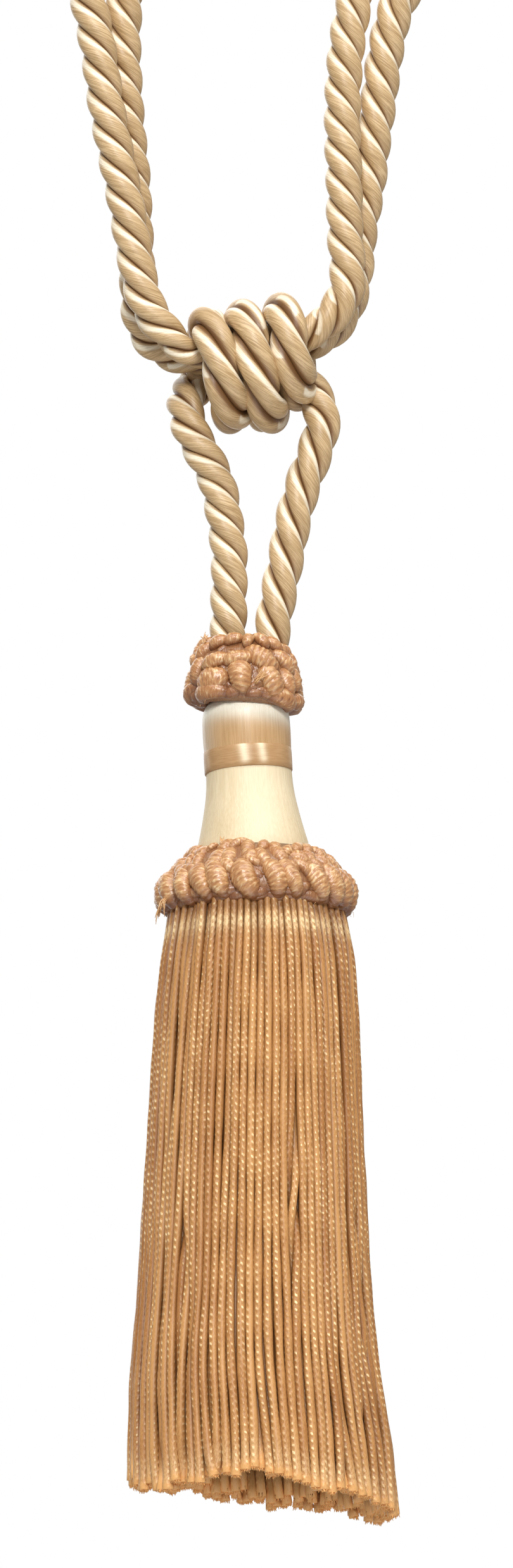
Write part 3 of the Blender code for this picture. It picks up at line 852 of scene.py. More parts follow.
@dataclass
class RopeWork:
    """Both doubled arms with their hanging eyes, the knot and the two legs."""

    eye_radius: float = 19.0
    left_eye: tuple[float, float] = (-43.0, -14.0)
    right_eye: tuple[float, float] = (44.0, -14.0)
    eye_degrees: tuple[int, ...] = (-24, 14, 52, 90, 128, 166, 204)

    def eye(self, centre: tuple[float, float]) -> Array:
        """Stops round a hanging eye, from its right side over the top to its left.

        Args:
            centre: x and z of its middle.

        Returns:
            Rows of x, y, z and the share of full thickness.
        """
        angle = np.radians(self.eye_degrees)
        x = centre[0] + self.eye_radius * np.cos(angle)
        z = centre[1] + self.eye_radius * np.sin(angle)
        return np.column_stack([x, 0 * x, z, 1 + 0 * x])

    def build(self) -> None:
        """Makes the four ropes."""
        left = np.vstack([LEFT_REAR_RUN, self.eye(self.left_eye), LEFT_FRONT_RUN])
        right = np.vstack([RIGHT_FRONT_RUN, self.eye(self.right_eye)[::-1], RIGHT_REAR_RUN])
        wrapped = np.vstack([LEFT_LEG_RUN, Knot().stops()])
        floss = FlossFinish().material("gold rope floss")
        both = Facing.FRONT_TO_BACK
        left_lays = ((0, 25.2), (0.41, 25.2), (0.43, 24.9), (0.57, 24.9), (0.59, 26.5), (1, 26.5))
        right_lays = ((0, 24.9), (0.40, 24.9), (0.42, 24.1), (0.58, 24.1), (0.60, 24.9), (1, 24.9))
        wrap_lays = ((0, 24.2), (0.22, 24.2), (0.3, 38), (1, 38))
        leg_lays = ((0, 28.9), (1, 28.9))
        for rope in (
            Rope("left_loop_rope", left, both, left_lays, 0.6, ("left_loop",)),
            Rope("right_loop_rope", right, both, right_lays, 0.2, ("right_loop",)),
            Rope("left_leg_rope", wrapped, Facing.LEFT_TO_RIGHT, wrap_lays, -0.29,
                 ("left_leg", "knot_wraps")),
            Rope("right_leg_rope", np.array(RIGHT_LEG_RUN), both, leg_lays, 0.0, ("right_leg",)),
        ):
            rope.build(floss)


# ---------------------------------------------------------------- satin head

@dataclass
class SatinHead:
    """Cap, band and neck, turned about one axis that leans to the left.

    Outlines are rows of radius and height in millimetres above the pivot.
    """

    lean: float = math.radians(3.1)
    pivot: tuple[float, float, float] = (-0.4, 0.0, -293.0)
    columns: int = 240
    cap_outline: Array = table(
        (10.9, 33.0), (11.35, 33.4), (11.45, 36.2), (11.55, 40.0), (11.5, 43.5), (11.3, 45.6), (10.8, 47.2),
        (9.9, 48.5), (8.7, 49.4), (7.2, 49.8), (5.0, 50.0))
    neck_outline: Array = table(
        (15.9, -6.0), (15.8, 0.0), (15.4, 5.0), (14.7, 10.0), (13.9, 13.3), (13.1, 16.7), (12.4, 20.1),
        (11.8, 23.4), (11.4, 27.0), (11.3, 29.6), (11.2, 31.0))
    band_outline: Array = table(
        (11.0, 30.0), (11.45, 29.95), (11.60, 30.10), (11.64, 31.5), (11.66, 33.0), (11.64, 34.5),
        (11.60, 35.70), (11.50, 35.85), (11.0, 35.8))
    cap_radius: float = 11.5
    shoulder: float = 43.4         # height where the painted highlight on the cap's shoulder begins
    shine: tuple[tuple[float, float, float], ...] = (
        # degrees from the front towards the right, half width, strength of the band's painted highlight
        # patches
        (-5.0, 6.0, 0.95), (19.0, 5.5, 0.90), (74.0, 7.0, 0.3), (118.0, 7.0, 0.5), (161.0, 6.0, 0.4),
        (-140.0, 7.0, 0.5), (-96.0, 7.0, 0.4), (-66.0, 5.0, 0.25))

    def turned(self, outline: Array, step: float, thread: float, ripple: float, seed: int,
               ring: bool = False) -> tuple[Array, Array]:
        """An outline turned about the head's axis, with shallow threads down it.

        The radius at an angle is the outline's, plus a random height for each thread, plus a
        slow ripple round the head.

        Args:
            outline: rows of radius and height, in millimetres.
            step: distance between rows.
            thread: height of the threads.
            ripple: height of the slow ripple.
            seed: for the random heights.
            ring: True for a hoop, whose outline is taken as it is.

        Returns:
            Points leant about the pivot, and their heights, x and y before that.
        """
        rng = np.random.default_rng(seed)
        rows = outline if ring else smooth_route(np.column_stack([outline, 0 * outline]), step)[:, :2]
        angle = around(self.columns)
        height = rows[:, 1][:, None] + 0 * angle
        threads = thread * rng.normal(0, 1, self.columns) * (1 + 0.2 * np.sin(height / 5))
        waves = np.arange(2, 7)[:, None]
        slow = (np.sin(waves * angle + rng.uniform(0, FULL_TURN, (5, 1))) / waves).sum(0)
        radius = rows[:, 0][:, None] + threads + ripple * slow
        x, y = radius * np.cos(angle), radius * np.sin(angle)
        cos, sin = math.cos(self.lean), math.sin(self.lean)
        points = np.stack([x * cos - height * sin, y, height * cos + x * sin], axis=-1) + self.pivot
        return points[None] * MM, np.stack([height, x, y], axis=-1)[None]

    def cap_highlight(self, laid: Array) -> Array:
        """Where the cap gets a painted highlight.

        A painted highlight: an S-curve up the shoulder that starts lower on the right, and a streak down the
        left side.

        Args:
            laid: height and x of each point.

        Returns:
            From 0, tan, to 1, the full painted highlight.
        """
        height, across = laid[..., 0], laid[..., 1] / self.cap_radius
        up = 1 / (1 + np.exp(-(height - self.shoulder + 1.2 * across) / 1.0))
        return np.clip(1.08 * up + 0.25 * np.exp(-((across + 0.95) / 0.2) ** 2), 0, 1)

    def band_highlight(self, laid: Array) -> Array:
        """Where the ribbon gets painted highlight patches: bell curves round it that slant with the height,
        plain at its edge.

        Args:
            laid: height, x and y of each point.

        Returns:
            From 0 up to each patch's strength.
        """
        height, x, y = np.moveaxis(laid, -1, 0)
        angle = np.degrees(np.arctan2(x, -y))
        edge = np.clip((height - 30.6) / 1.0, 0, 1)
        return edge * sum(strength * np.exp(-((angle - at + 0.6 * (height - 33)) / width) ** 2)
                          for at, width, strength in self.shine)

    def build(self) -> None:
        """Makes the three pieces of the head."""
        tan = SatinFinish((0.58, 0.365, 0.180), (0.44, 0.255, 0.110), (1.0, 0.96, 0.80))
        cream = SatinFinish((0.82, 0.69, 0.46), (0.70, 0.55, 0.33), (0.93, 0.82, 0.60), roughness=0.55)
        gold = SatinFinish((0.52, 0.315, 0.150), (0.42, 0.235, 0.100), (0.95, 0.80, 0.56),
                           (3.2, 0.3, 0.3), 0.42)
        points, laid = self.turned(self.cap_outline, 0.6, 0.015, 0.03, 1)
        cap = Grid(points, {"laid": laid, "pale": self.cap_highlight(laid)})
        Skin([cap]).piece("head_cap_satin", tan.material("tan cap satin"), "cap_satin", "head_cap")
        points, laid = self.turned(self.neck_outline, 0.8, 0.02, 0.05, 2)
        # The neck's pale mark is a painted highlight: a soft upright stripe a little right of the middle.
        neck = Grid(points, {"laid": laid, "pale": 0.5 * np.exp(-((laid[..., 1] - 2.5) / 6.0) ** 2)})
        Skin([neck]).piece("head_neck_satin", cream.material("cream neck satin"), "neck_satin", "head_neck")
        points, laid = self.turned(self.band_outline, 0.3, 0.0, 0.10, 3, ring=True)
        band = Grid(points, {"laid": laid, "pale": self.band_highlight(laid)}, ring=True)
        Skin([band]).piece("head_band_ribbon", gold.material("gold satin ribbon"), "ribbon", "head_band")


# ---------------------------------------------------------------- coiled ruffs

class Threads(Enum):
    """How strongly the winding of a gimp loop stands out."""

    RIBBED = 1.0
    SOFT = 0.55
    SMOOTH = 0.15


@dataclass(frozen=True)
class Loop:
    """One loop of gimp that arches out of a ruff.

    Attributes:
        angle: where it sits, in degrees from the front towards the right.
        height: of its middle.
        slant: lean of its length from upright towards the right, in degrees.
        half_length: half its length over the surface.
        tube: radius of the gimp.
        threads: how its winding shows.
        inset: how much deeper it lies than the ruff's outer surface.
    """

    angle: float
    height: float
    slant: float
    half_length: float
    tube: float
    threads: Threads = Threads.RIBBED
    inset: float = 0.0


@dataclass(frozen=True)
class LoopRow:
    """Loops side by side all round a ruff, but only where no loop is listed one by one.

    Attributes:
        count: how many would fill the whole round.
        height, slant, half_length, tube: as of a loop, for the average one.
        scatter: how much they differ, as a share.
        threads: how their winding shows.
        free: how many degrees left and right of the front stay free for the listed loops.
        inset: how much deeper they lie than the ruff's outer surface.
    """

    count: int
    height: float
    slant: float
    half_length: float
    tube: float
    scatter: float
    threads: Threads = Threads.RIBBED
    free: float = 0.0
    inset: float = 0.0

    def loops(self, rng: np.random.Generator) -> list[Loop]:
        """The row's loops, each a little different.

        Args:
            rng: source of the differences.

        Returns:
            The loops, from the back's left side round the front to its right side.
        """
        angle = (np.arange(self.count) + rng.uniform(-0.22, 0.22, self.count)) * 360 / self.count - 180
        angle = angle[np.abs(angle) >= self.free]
        uneven = rng.normal(0, self.scatter, (4, len(angle)))
        return [Loop(at, self.height + 3 * high, self.slant + 80 * lean, self.half_length * (1 + longer),
                     self.tube * (1 + fatter), self.threads, self.inset)
                for at, (high, lean, longer, fatter) in zip(angle, uneven.T)]


@dataclass
class Ruff:
    """A dome or collar of gimp loops over a plain core, which is coloured dark as painted shade.

    Attributes:
        name: the piece's name.
        node: the CAD node that it stands for.
        outline: height, outer radius and upward tilt of the surface in degrees, from below to above.
        placed: the loops that the photo shows.
        rows: the loops that continue them round the back.
        core: radius and height of the closed core's outline.
        middle_x: sideways place of the axis.
        shear: how much lower the right side hangs, for each millimetre.
        fibres: number of stray fibres.
        tufts: roots and directions of loose thread ends, as angle, height, slant and length.
    """

    name: str
    node: str
    outline: Array
    placed: tuple[Loop, ...]
    rows: tuple[LoopRow, ...]
    core: tuple[tuple[float, float], ...]
    middle_x: float
    shear: float
    seed: int
    fibres: int = 40
    tufts: tuple[tuple[float, float, float, float], ...] = ()
    arch: float = 0.74             # how far a loop stands out, as a share of its half length
    rib_pitch: float = 0.95
    rib_height: float = 0.12
    fine: tuple[int, int] = (46, 16)       # rows and columns of points on a big loop
    coarse: tuple[int, int] = (24, 12)     # and on a small one
    big_tube: float = 2.75         # a loop whose tube is thicker than this counts as big
    loop_end: float = 112.0        # degrees from a loop's crown to where its line stops in the core
    core_columns: int = 96
    tuft_threads: int = 9
    fibre_radius: float = 0.045
    thread_radius: float = 0.17

    def surface(self, angle: Array, height: Array) -> tuple[Array, Array, Array, Array]:
        """Points on the ruff's outer surface with its directions.

        Args:
            angle: radians from the front towards the right.
            height: in millimetres.

        Returns:
            Points, outward normals, directions round to the right, and directions up the surface.
        """
        radius = np.interp(height, self.outline[:, 0], self.outline[:, 1])
        tilt = np.radians(np.interp(height, self.outline[:, 0], self.outline[:, 2]))
        zero = 0 * angle
        flat = np.stack([np.sin(angle), -np.cos(angle), zero], axis=-1)
        right = np.stack([np.cos(angle), np.sin(angle), zero], axis=-1)
        upright = np.stack([zero, zero, zero + 1], axis=-1)
        cos, sin = np.cos(tilt)[..., None], np.sin(tilt)[..., None]
        points = radius[..., None] * flat + height[..., None] * upright
        return points, cos * flat + sin * upright, right, cos * upright - sin * flat

    def settled(self, points: Array) -> Array:
        """Points moved to the ruff's axis and sheared down to the right.

        Args:
            points: places about the ruff's own axis.

        Returns:
            Their places on the tieback, still in millimetres.
        """
        moved = points + np.array([self.middle_x, 0, 0])
        moved[..., 2] -= self.shear * points[..., 0]
        return moved

    def loops_grid(self, loops: list[Loop], mesh: tuple[int, int], rng: np.random.Generator) -> Grid:
        """Loops as one batch.

        A loop's line is half an ellipse whose ends dive into the core: along the surface by the
        sine and outwards by the cosine of an angle from -112 to 112 degrees, bent a little
        sideways. Round it runs a circle that is fatter in the middle, with slanting thread ribs
        and random lumps.

        Args:
            loops: the loops.
            mesh: rows and columns of points on each.
            rng: source of their unevenness.

        Returns:
            One surface for each loop.
        """
        angle, height, slant, half, tube, ribs, inset = (np.array([
            (x.angle, x.height, x.slant, x.half_length, x.tube, x.threads.value, x.inset) for x in loops]).T)
        count = len(loops)
        base, normal, right, up = self.surface(np.radians(angle), height)
        lean = np.radians(slant)[:, None]
        length_way = np.cos(lean) * up + np.sin(lean) * right
        across = np.cross(length_way, normal)
        arch = self.arch * half
        sweep_angle = np.radians(np.linspace(-self.loop_end, self.loop_end, mesh[0]))[None, :, None]
        bend = rng.normal(0, 0.12, (count, 1, 1)) * half[:, None, None]
        run_out = arch[:, None, None] * (np.cos(sweep_angle) - 1) - (tube + inset)[:, None, None]
        tube, ribs = tube[:, None, None], ribs[:, None, None]
        bow = bend * (np.cos(sweep_angle) - 0.5)
        path = (base[:, None] + half[:, None, None] * np.sin(sweep_angle) * length_way[:, None]
                + run_out * normal[:, None] + bow * across[:, None])
        _, side, cross = frames(path, across[:, None])
        run = lengths_along(path)[..., None]
        column = around(mesh[1])
        starts = rng.choice([-2, 2, 3], (count, 1, 1))
        slow = 1.4 * np.sin(run / 2.1 + rng.uniform(0, FULL_TURN, (count, 1, 1)))
        wave = FULL_TURN * run / self.rib_pitch + starts * column + slow
        phase = rng.uniform(0, FULL_TURN, (5, count, 1, 1))
        broken = 0.65 + 0.35 * np.sin(run / 0.55 + phase[3]) * np.sin(2 * column + run / 1.1 + phase[4])
        rib = (1 + np.cos(wave)) / 2 * ribs * broken
        lumps = (np.sin(2 * column + run / 1.3 + phase[0]) + np.sin(3 * column - run / 1.9 + phase[1])
                 + np.sin(5 * column + run / 0.7 + phase[2])) * 0.022
        fat = tube * (0.68 + 0.34 * np.cos(sweep_angle))
        radius = fat * (1 - self.rib_height * ribs + self.rib_height * rib ** 0.6 + lumps)
        points = sweep(path, side, cross, radius * np.cos(column), radius * np.sin(column))
        zero = 0 * wave
        shift = 31.0 * np.arange(count)[:, None, None]      # so that no two loops repeat a pattern
        laid = np.stack([run + 0.35 * tube * np.sin(column) + shift, tube * np.cos(column) + zero,
                         tube * np.sin(column) + zero], axis=-1)
        tone = rng.normal(0, 0.5, count).clip(-1, 1)[:, None, None] + zero
        # Painted shade: the deep mark grows with how far a point lies under the ruff's outer surface.
        under = -((points - base[:, None, None]) * normal[:, None, None]).sum(-1)
        deep = np.clip((under - 0.2 - 0.45 * tube) / 2.0, 0, 0.9)
        return Grid(self.settled(points) * MM, {"laid": laid, "rib": rib, "tone": tone, "deep": deep})

    def core_grid(self) -> Grid:
        """The plain tape under the loops: an outline of radius and height, turned into a hoop.

        Returns:
            One closed ring.
        """
        rows = np.array(self.core)
        angle = around(self.core_columns)
        points = np.stack([rows[:, :1] * np.cos(angle), rows[:, :1] * np.sin(angle),
                           rows[:, 1:] + 0 * angle], axis=-1)[None]
        even = 0 * points[..., 0]
        # The core takes the gap colour as painted shade between the loops.
        marks = {"laid": points, "rib": even + 0.6, "deep": even + 0.75}
        return Grid(self.settled(points) * MM, marks, ring=True)

    def fibres_grid(self, rng: np.random.Generator) -> Grid:
        """Stray fibres and loose thread ends: thin tapered tubes that leave the surface and curl.

        Args:
            rng: source of their places and shapes.

        Returns:
            One surface for each fibre.
        """
        low, high = self.outline[0, 0], self.outline[-1, 0]
        at, root, lean, long = np.repeat(np.array(self.tufts).reshape(-1, 4), self.tuft_threads, axis=0).T
        few, many = self.fibres, len(at)
        angle = np.concatenate([rng.uniform(-math.pi, math.pi, few),
                                np.radians(at + rng.normal(0, 1.2, many))])
        height = np.concatenate([rng.uniform(low, high, few), root + rng.normal(0, 0.25, many)])
        slant = np.concatenate([rng.uniform(0, FULL_TURN, few), np.radians(lean + rng.normal(0, 9, many))])
        length = np.concatenate([rng.uniform(0.5, 1.3, few), long * rng.uniform(0.7, 1.0, many)])
        thick = np.concatenate([np.full(few, self.fibre_radius), np.full(many, self.thread_radius)])
        base, normal, right, up = self.surface(angle, height)
        way = np.cos(slant)[:, None] * up + np.sin(slant)[:, None] * right
        share = np.linspace(0, 1, 6)[None, :, None]
        lift = rng.uniform(0.25, 0.9, (len(angle), 1, 1))
        path = (base[:, None] - 0.7 * normal[:, None]
                + length[:, None, None] * (
                    share * way[:, None] + lift * np.sqrt(share) * normal[:, None]
                    + rng.normal(0, 0.3, (len(angle), 1, 1)) * share ** 2 * up[:, None]))
        _, side, cross = frames(path, np.cross(way, normal)[:, None])
        column = around(4)
        radius = thick[:, None, None] * (1.05 - 0.6 * share ** 3)
        points = sweep(path, side, cross, radius * np.cos(column), radius * np.sin(column))
        zero = 0 * points[..., 0]
        laid = np.stack([share + zero + 7.0 * angle[:, None, None], zero, zero], axis=-1)
        marks = {"laid": laid, "rib": zero + 1.0, "tone": zero + 0.6, "deep": zero}
        return Grid(self.settled(points) * MM, marks)

    def build(self, material: bpy.types.Material) -> None:
        """Makes the ruff as one piece.

        Args:
            material: its finish.
        """
        rng = np.random.default_rng(self.seed)
        loops = list(self.placed) + [loop for row in self.rows for loop in row.loops(rng)]
        big = [loop for loop in loops if loop.tube > self.big_tube]
        small = [loop for loop in loops if loop.tube <= self.big_tube]
        grids = [self.loops_grid(big, self.fine, rng), self.loops_grid(small, self.coarse, rng),
                 self.core_grid(), self.fibres_grid(rng)]
        Skin(grids).piece(self.name, material, "gimp", self.node)


SOFT, SMOOTH = Threads.SOFT, Threads.SMOOTH
UPPER_PLACED = (
    # the loops that the photo shows: a fat coil in the middle, an arch over it, big coils right of it,
    # a loop and a lobe left of it, smooth lobes along the bottom, and small coils along the top
    Loop(-4, -238.6, -8, 3.0, 3.3, inset=-0.9), Loop(-8, -233.6, 78, 3.3, 2.2, inset=-0.1),
    Loop(-37, -234.6, 66, 3.2, 2.3, inset=-0.2), Loop(-39, -240.2, 70, 2.8, 3.6, SOFT, -0.5),
    Loop(23, -232.9, -52, 3.3, 3.4, inset=-0.5), Loop(32, -239.3, -28, 3.3, 3.3, inset=-0.7),
    Loop(59, -232.6, -35, 2.9, 2.5, inset=0.0), Loop(58, -238.8, -10, 2.9, 2.6, inset=0.0),
    Loop(78, -236.5, -5, 3.0, 2.4, inset=0.2), Loop(-42, -243.9, 86, 4.3, 2.2, SMOOTH),
    Loop(51, -244.3, 100, 3.9, 2.6, SMOOTH), Loop(22, -243.0, 100, 3.0, 1.2, SMOOTH, 1.6),
    Loop(-3, -242.8, 88, 3.6, 1.1, SMOOTH, 1.4), Loop(-39, -228.4, 50, 1.9, 1.8, SOFT),
    Loop(-16, -227.6, 65, 1.8, 1.7, SOFT), Loop(6, -227.9, 20, 1.6, 1.5, SOFT),
    Loop(28, -227.2, -30, 1.8, 1.7, SOFT), Loop(50, -227.8, -50, 1.9, 1.9, SOFT),
    Loop(-63, -230.8, 25, 2.4, 2.2, SOFT, 0.2), Loop(-66, -236.2, 10, 3.3, 2.3, SOFT, 0.1),
    Loop(-22, -236.2, 30, 2.2, 1.3, inset=2.6), Loop(11, -236.5, 20, 2.2, 1.2, inset=2.3),
    Loop(68, -228.9, -40, 2.3, 1.6, SOFT, 0.4), Loop(14, -241.0, 60, 2.2, 1.2, SOFT, 1.4),
    Loop(-19, -241.4, -60, 2.1, 1.4, SOFT, 2.4), Loop(42, -235.7, -60, 2.2, 1.5, inset=2.4),
)


def ruffs() -> tuple[Ruff, Ruff]:
    """The dome of loops on the cap, and the collar of loops over the fringe.

    Returns:
        The upper and the lower ruff.
    """
    upper = Ruff(
        "upper_ruff_loops", "upper_ruff",
        np.array([(-248.0, 15.6, -20.0), (-245.5, 16.1, -5.0), (-242.0, 16.1, 8.0), (-237.0, 15.6, 18.0),
                  (-232.0, 14.1, 30.0), (-228.5, 11.9, 45.0), (-226.0, 9.2, 62.0)]),
        UPPER_PLACED,
        (LoopRow(15, -242.9, 84, 3.8, 2.2, 0.12, SMOOTH, 82),
         LoopRow(13, -238.8, -18, 3.4, 3.1, 0.15, free=84),
         LoopRow(12, -233.8, -55, 3.0, 2.5, 0.20, free=80),
         LoopRow(12, -230.0, -35, 2.3, 2.0, 0.20, SOFT, 76),
         LoopRow(15, -228.0, 50, 2.0, 1.6, 0.20, SOFT, 64),
         # short loops that fill the gaps from below
         LoopRow(30, -240.5, 30, 2.1, 1.8, 0.3, inset=2.2),
         LoopRow(24, -236.2, -30, 2.0, 1.7, 0.3, inset=2.2),
         LoopRow(20, -231.5, 30, 1.9, 1.5, 0.3, inset=1.9),
         LoopRow(24, -243.2, 80, 2.2, 1.4, 0.1, SMOOTH, inset=1.7)),
        ((11.6, -246.0), (13.2, -244.5), (13.2, -238.0), (11.6, -232.5), (9.0, -229.0), (7.4, -229.6),
         (8.2, -236.0), (11.0, -243.0)),
        -3.3, math.tan(math.radians(3.6)), 11,
        tufts=((11.0, -241.2, 38.0, 3.6), (-58.0, -229.5, -20.0, 2.2)))
    lower = Ruff(
        "lower_ruff_loops", "lower_ruff",
        np.array([(-302.5, 24.6, -30.0), (-300.0, 26.3, -12.0), (-297.0, 27.0, 4.0), (-293.5, 26.2, 20.0),
                  (-290.0, 24.5, 38.0), (-286.5, 21.0, 48.0), (-283.5, 17.6, 55.0)]),
        (),
        (LoopRow(23, -293.9, -20, 3.9, 3.25, 0.07, inset=-0.6),
         LoopRow(30, -300.3, 86, 3.6, 1.6, 0.1, SMOOTH, inset=2.3),
         LoopRow(16, -298.8, 86, 4.6, 1.6, 0.10, SMOOTH, inset=1.7),
         LoopRow(29, -287.5, -38, 2.5, 2.3, 0.20, inset=0.1), LoopRow(33, -284.6, 30, 2.1, 1.7, 0.22),
         LoopRow(27, -290.2, -50, 2.2, 1.9, 0.20, inset=0.5),
         # short loops that fill the gaps from below
         LoopRow(36, -296.5, 30, 2.1, 1.7, 0.3, inset=2.1),
         LoopRow(40, -292.0, -20, 2.1, 1.8, 0.3, inset=1.9),
         LoopRow(36, -288.2, 40, 2.1, 1.8, 0.3, inset=1.7)),
        ((23.0, -300.5), (24.2, -297.0), (23.0, -291.2), (18.9, -286.4), (16.4, -284.6), (16.4, -287.5),
         (17.2, -291.5), (21.0, -293.0)),
        0.0, 0.0, 21, 60,
        ((-72.0, -299.5, -160.0, 4.0), (-66.0, -298.5, 175.0, 3.4), (-30.0, -284.5, -25.0, 2.4)))
    return upper, lower


# ---------------------------------------------------------------- fringe

@dataclass(frozen=True)
class Layer:
    """One ring of fringe cords.

    Attributes:
        cords: how many.
        inset: how far inside the skirt's outside their middles hang.
        columns: points round each cord.
        row_gap: distance between its rows of points.
        fibres: loose fibres at each cut end.
        dull: how much darker its cords are, as painted shade inside the skirt.
        tip: how far the cut's colour reaches up a cord; the longer reach on the inner rings is painted
            light.
    """

    cords: int
    inset: float
    columns: int
    row_gap: float
    fibres: int
    dull: float
    tip: float


@dataclass
class Fringe:
    """A skirt of knitted cords that are pressed together at the ruff and spread towards the cut."""

    levels: Array = table(
        # height, outer radius, inner radius, sideways drift
        (-296.0, 22.6, 16.5, 0.0), (-303.8, 24.4, 17.1, 0.2), (-311.0, 26.1, 17.6, 0.3),
        (-330.0, 27.2, 18.9, 0.1), (-356.0, 28.5, 20.4, -0.3), (-385.0, 30.0, 22.2, -0.5),
        (-403.0, 31.0, 23.3, -0.5), (-418.0, 32.4, 24.4, -0.4), (-427.0, 33.5, 25.4, -0.1),
        (-440.0, 34.9, 26.6, 0.8), (-452.0, 35.5, 27.2, 1.5), (-462.0, 35.7, 27.4, 1.8))
    layers: tuple[Layer, ...] = (Layer(80, 1.25, 12, 1.65, 34, 0.0, 1.3),
                                 Layer(66, 3.1, 8, 3.0, 20, 0.1, 5.0), Layer(50, 5.2, 6, 5.0, 14, 0.0, 5.0))
    tip_levels: Array = table(
        # degrees from the front towards the right, height of the cut there
        (-180, -452.4), (-155, -450.6), (-135, -449.2), (-90, -451.6), (-70, -455.2), (-48, -457.2),
        (-20, -455.2), (0, -453.6), (30, -457.6), (65, -459.8), (90, -460.8), (115, -459.2),
        (140, -455.4), (180, -452.4))
    cord_sizes: Array = table(
        # height, diameter that the cords are pressed to there
        (-296, 1.75), (-303, 1.85), (-313, 2.15), (-380, 2.25), (-440, 2.4), (-462, 2.5))
    level_gap: float = 4.0
    rounds: int = 60               # how often cords that lie too close are pushed apart
    closest: float = 0.97          # of their thickness, the distance that they are pushed to
    push: float = 0.42             # share of the overlap that each moves in one round
    seed: int = 31

    def level_rows(self) -> tuple[Array, Array]:
        """Heights of the packing levels, and the outline at each.

        Returns:
            Heights, and rows of outer radius, inner radius and sideways drift.
        """
        top, bottom = self.levels[0, 0], self.levels[-1, 0]
        heights = np.arange(top, bottom - 2.1, -self.level_gap)
        outline = [np.interp(-heights, -self.levels[:, 0], self.levels[:, k]) for k in (1, 2, 3)]
        return heights, np.column_stack(outline)

    def cord_size(self, heights: Array) -> Array:
        """Diameter that the cords are pressed to at each height."""
        return np.interp(-heights, -self.cord_sizes[:, 0], self.cord_sizes[:, 1])

    def packed(self) -> tuple[Array, Array, Array]:
        """Where each cord's middle lies at each level.

        The cords start in rings with smooth random wander that grows towards the cut. Then, round
        after round, any two that lie closer than they should are pushed apart, each is kept inside
        the skirt's outline, and its line is smoothed from level to level. The smoothing and the
        outline leave some of them still overlapping, mostly near the cut.

        Returns:
            Heights, places [level, cord, xy] about the drifting middle, and each cord's layer.
        """
        rng = np.random.default_rng(self.seed)
        heights, outline = self.level_rows()
        outer, inner = outline[:, :1], outline[:, 1:2]
        layer = np.repeat(np.arange(len(self.layers)), [x.cords for x in self.layers])
        inset = np.array([x.inset for x in self.layers])[layer]
        start = np.concatenate([(np.arange(x.cords) + 0.5) / x.cords for x in self.layers]) * FULL_TURN
        count = len(layer)
        down = (heights[0] - heights)[None]
        loose = 0.8 + 2.6 * (down / down.max()) ** 2.5
        sideways = wander(rng, count, down, (190.0, 80.0, 42.0)) * loose
        outwards = wander(rng, count, down, (130.0, 62.0)) * (0.7 + 0.5 * loose)
        outwards += rng.normal(0, 0.45, (count, 1))
        radius = outer - inset + outwards.T
        angle = start + sideways.T / outer
        place = np.stack([radius * np.cos(angle), radius * np.sin(angle)], axis=-1)
        size = self.cord_size(heights)[:, None]
        apart = self.closest * size[..., None]
        for _ in range(self.rounds):
            offset = place[:, :, None] - place[:, None]
            distance = np.linalg.norm(offset, axis=-1) + 1e-6
            overlap = np.clip(apart - distance, 0, None)
            overlap[:, np.arange(count), np.arange(count)] = 0
            place = place + self.push * (offset / distance[..., None] * overlap[..., None]).sum(2)
            reach = np.linalg.norm(place, axis=-1)
            held = np.clip(reach, inner + size / 2, outer - size / 2)
            place = place * (held / reach)[..., None]
            place[1:-1] = 0.7 * place[1:-1] + 0.15 * (place[:-2] + place[2:])
        place[..., 0] += outline[:, 2:3]
        return heights, place, layer

    def tips(self, place: Array, layer: Array, rng: np.random.Generator) -> Array:
        """Height of each cord's cut end: the slanting cut, and a little more or less for each cord.

        Args:
            place: places [level, cord, xy].
            layer: each cord's layer.
            rng: source of the unevenness.

        Returns:
            One height for each cord.
        """
        angle = np.degrees(np.arctan2(place[-1, :, 0], -place[-1, :, 1]))
        cut = np.interp(angle, self.tip_levels[:, 0], self.tip_levels[:, 1])
        return cut + rng.normal(0, 0.75, len(angle)) + 0.9 * layer

    def lines(self, heights: Array, place: Array, tips: Array, gap: float) -> Array:
        """Evenly spaced points down each cord.

        Args:
            heights: of the packing levels.
            place: places there, [level, cord, xy].
            tips: height of each cord's cut end.
            gap: distance between points.

        Returns:
            Points, [cord, row, xyz].
        """
        rows = round((heights[0] - tips.mean()) / gap) + 1
        z = heights[0] + (tips[:, None] - heights[0]) * np.linspace(0, 1, rows)
        level = (heights[0] - z) / self.level_gap
        each = [glide(place[:, k], level[k]) for k in range(place.shape[1])]
        return np.dstack([np.stack(each), z[..., None]])

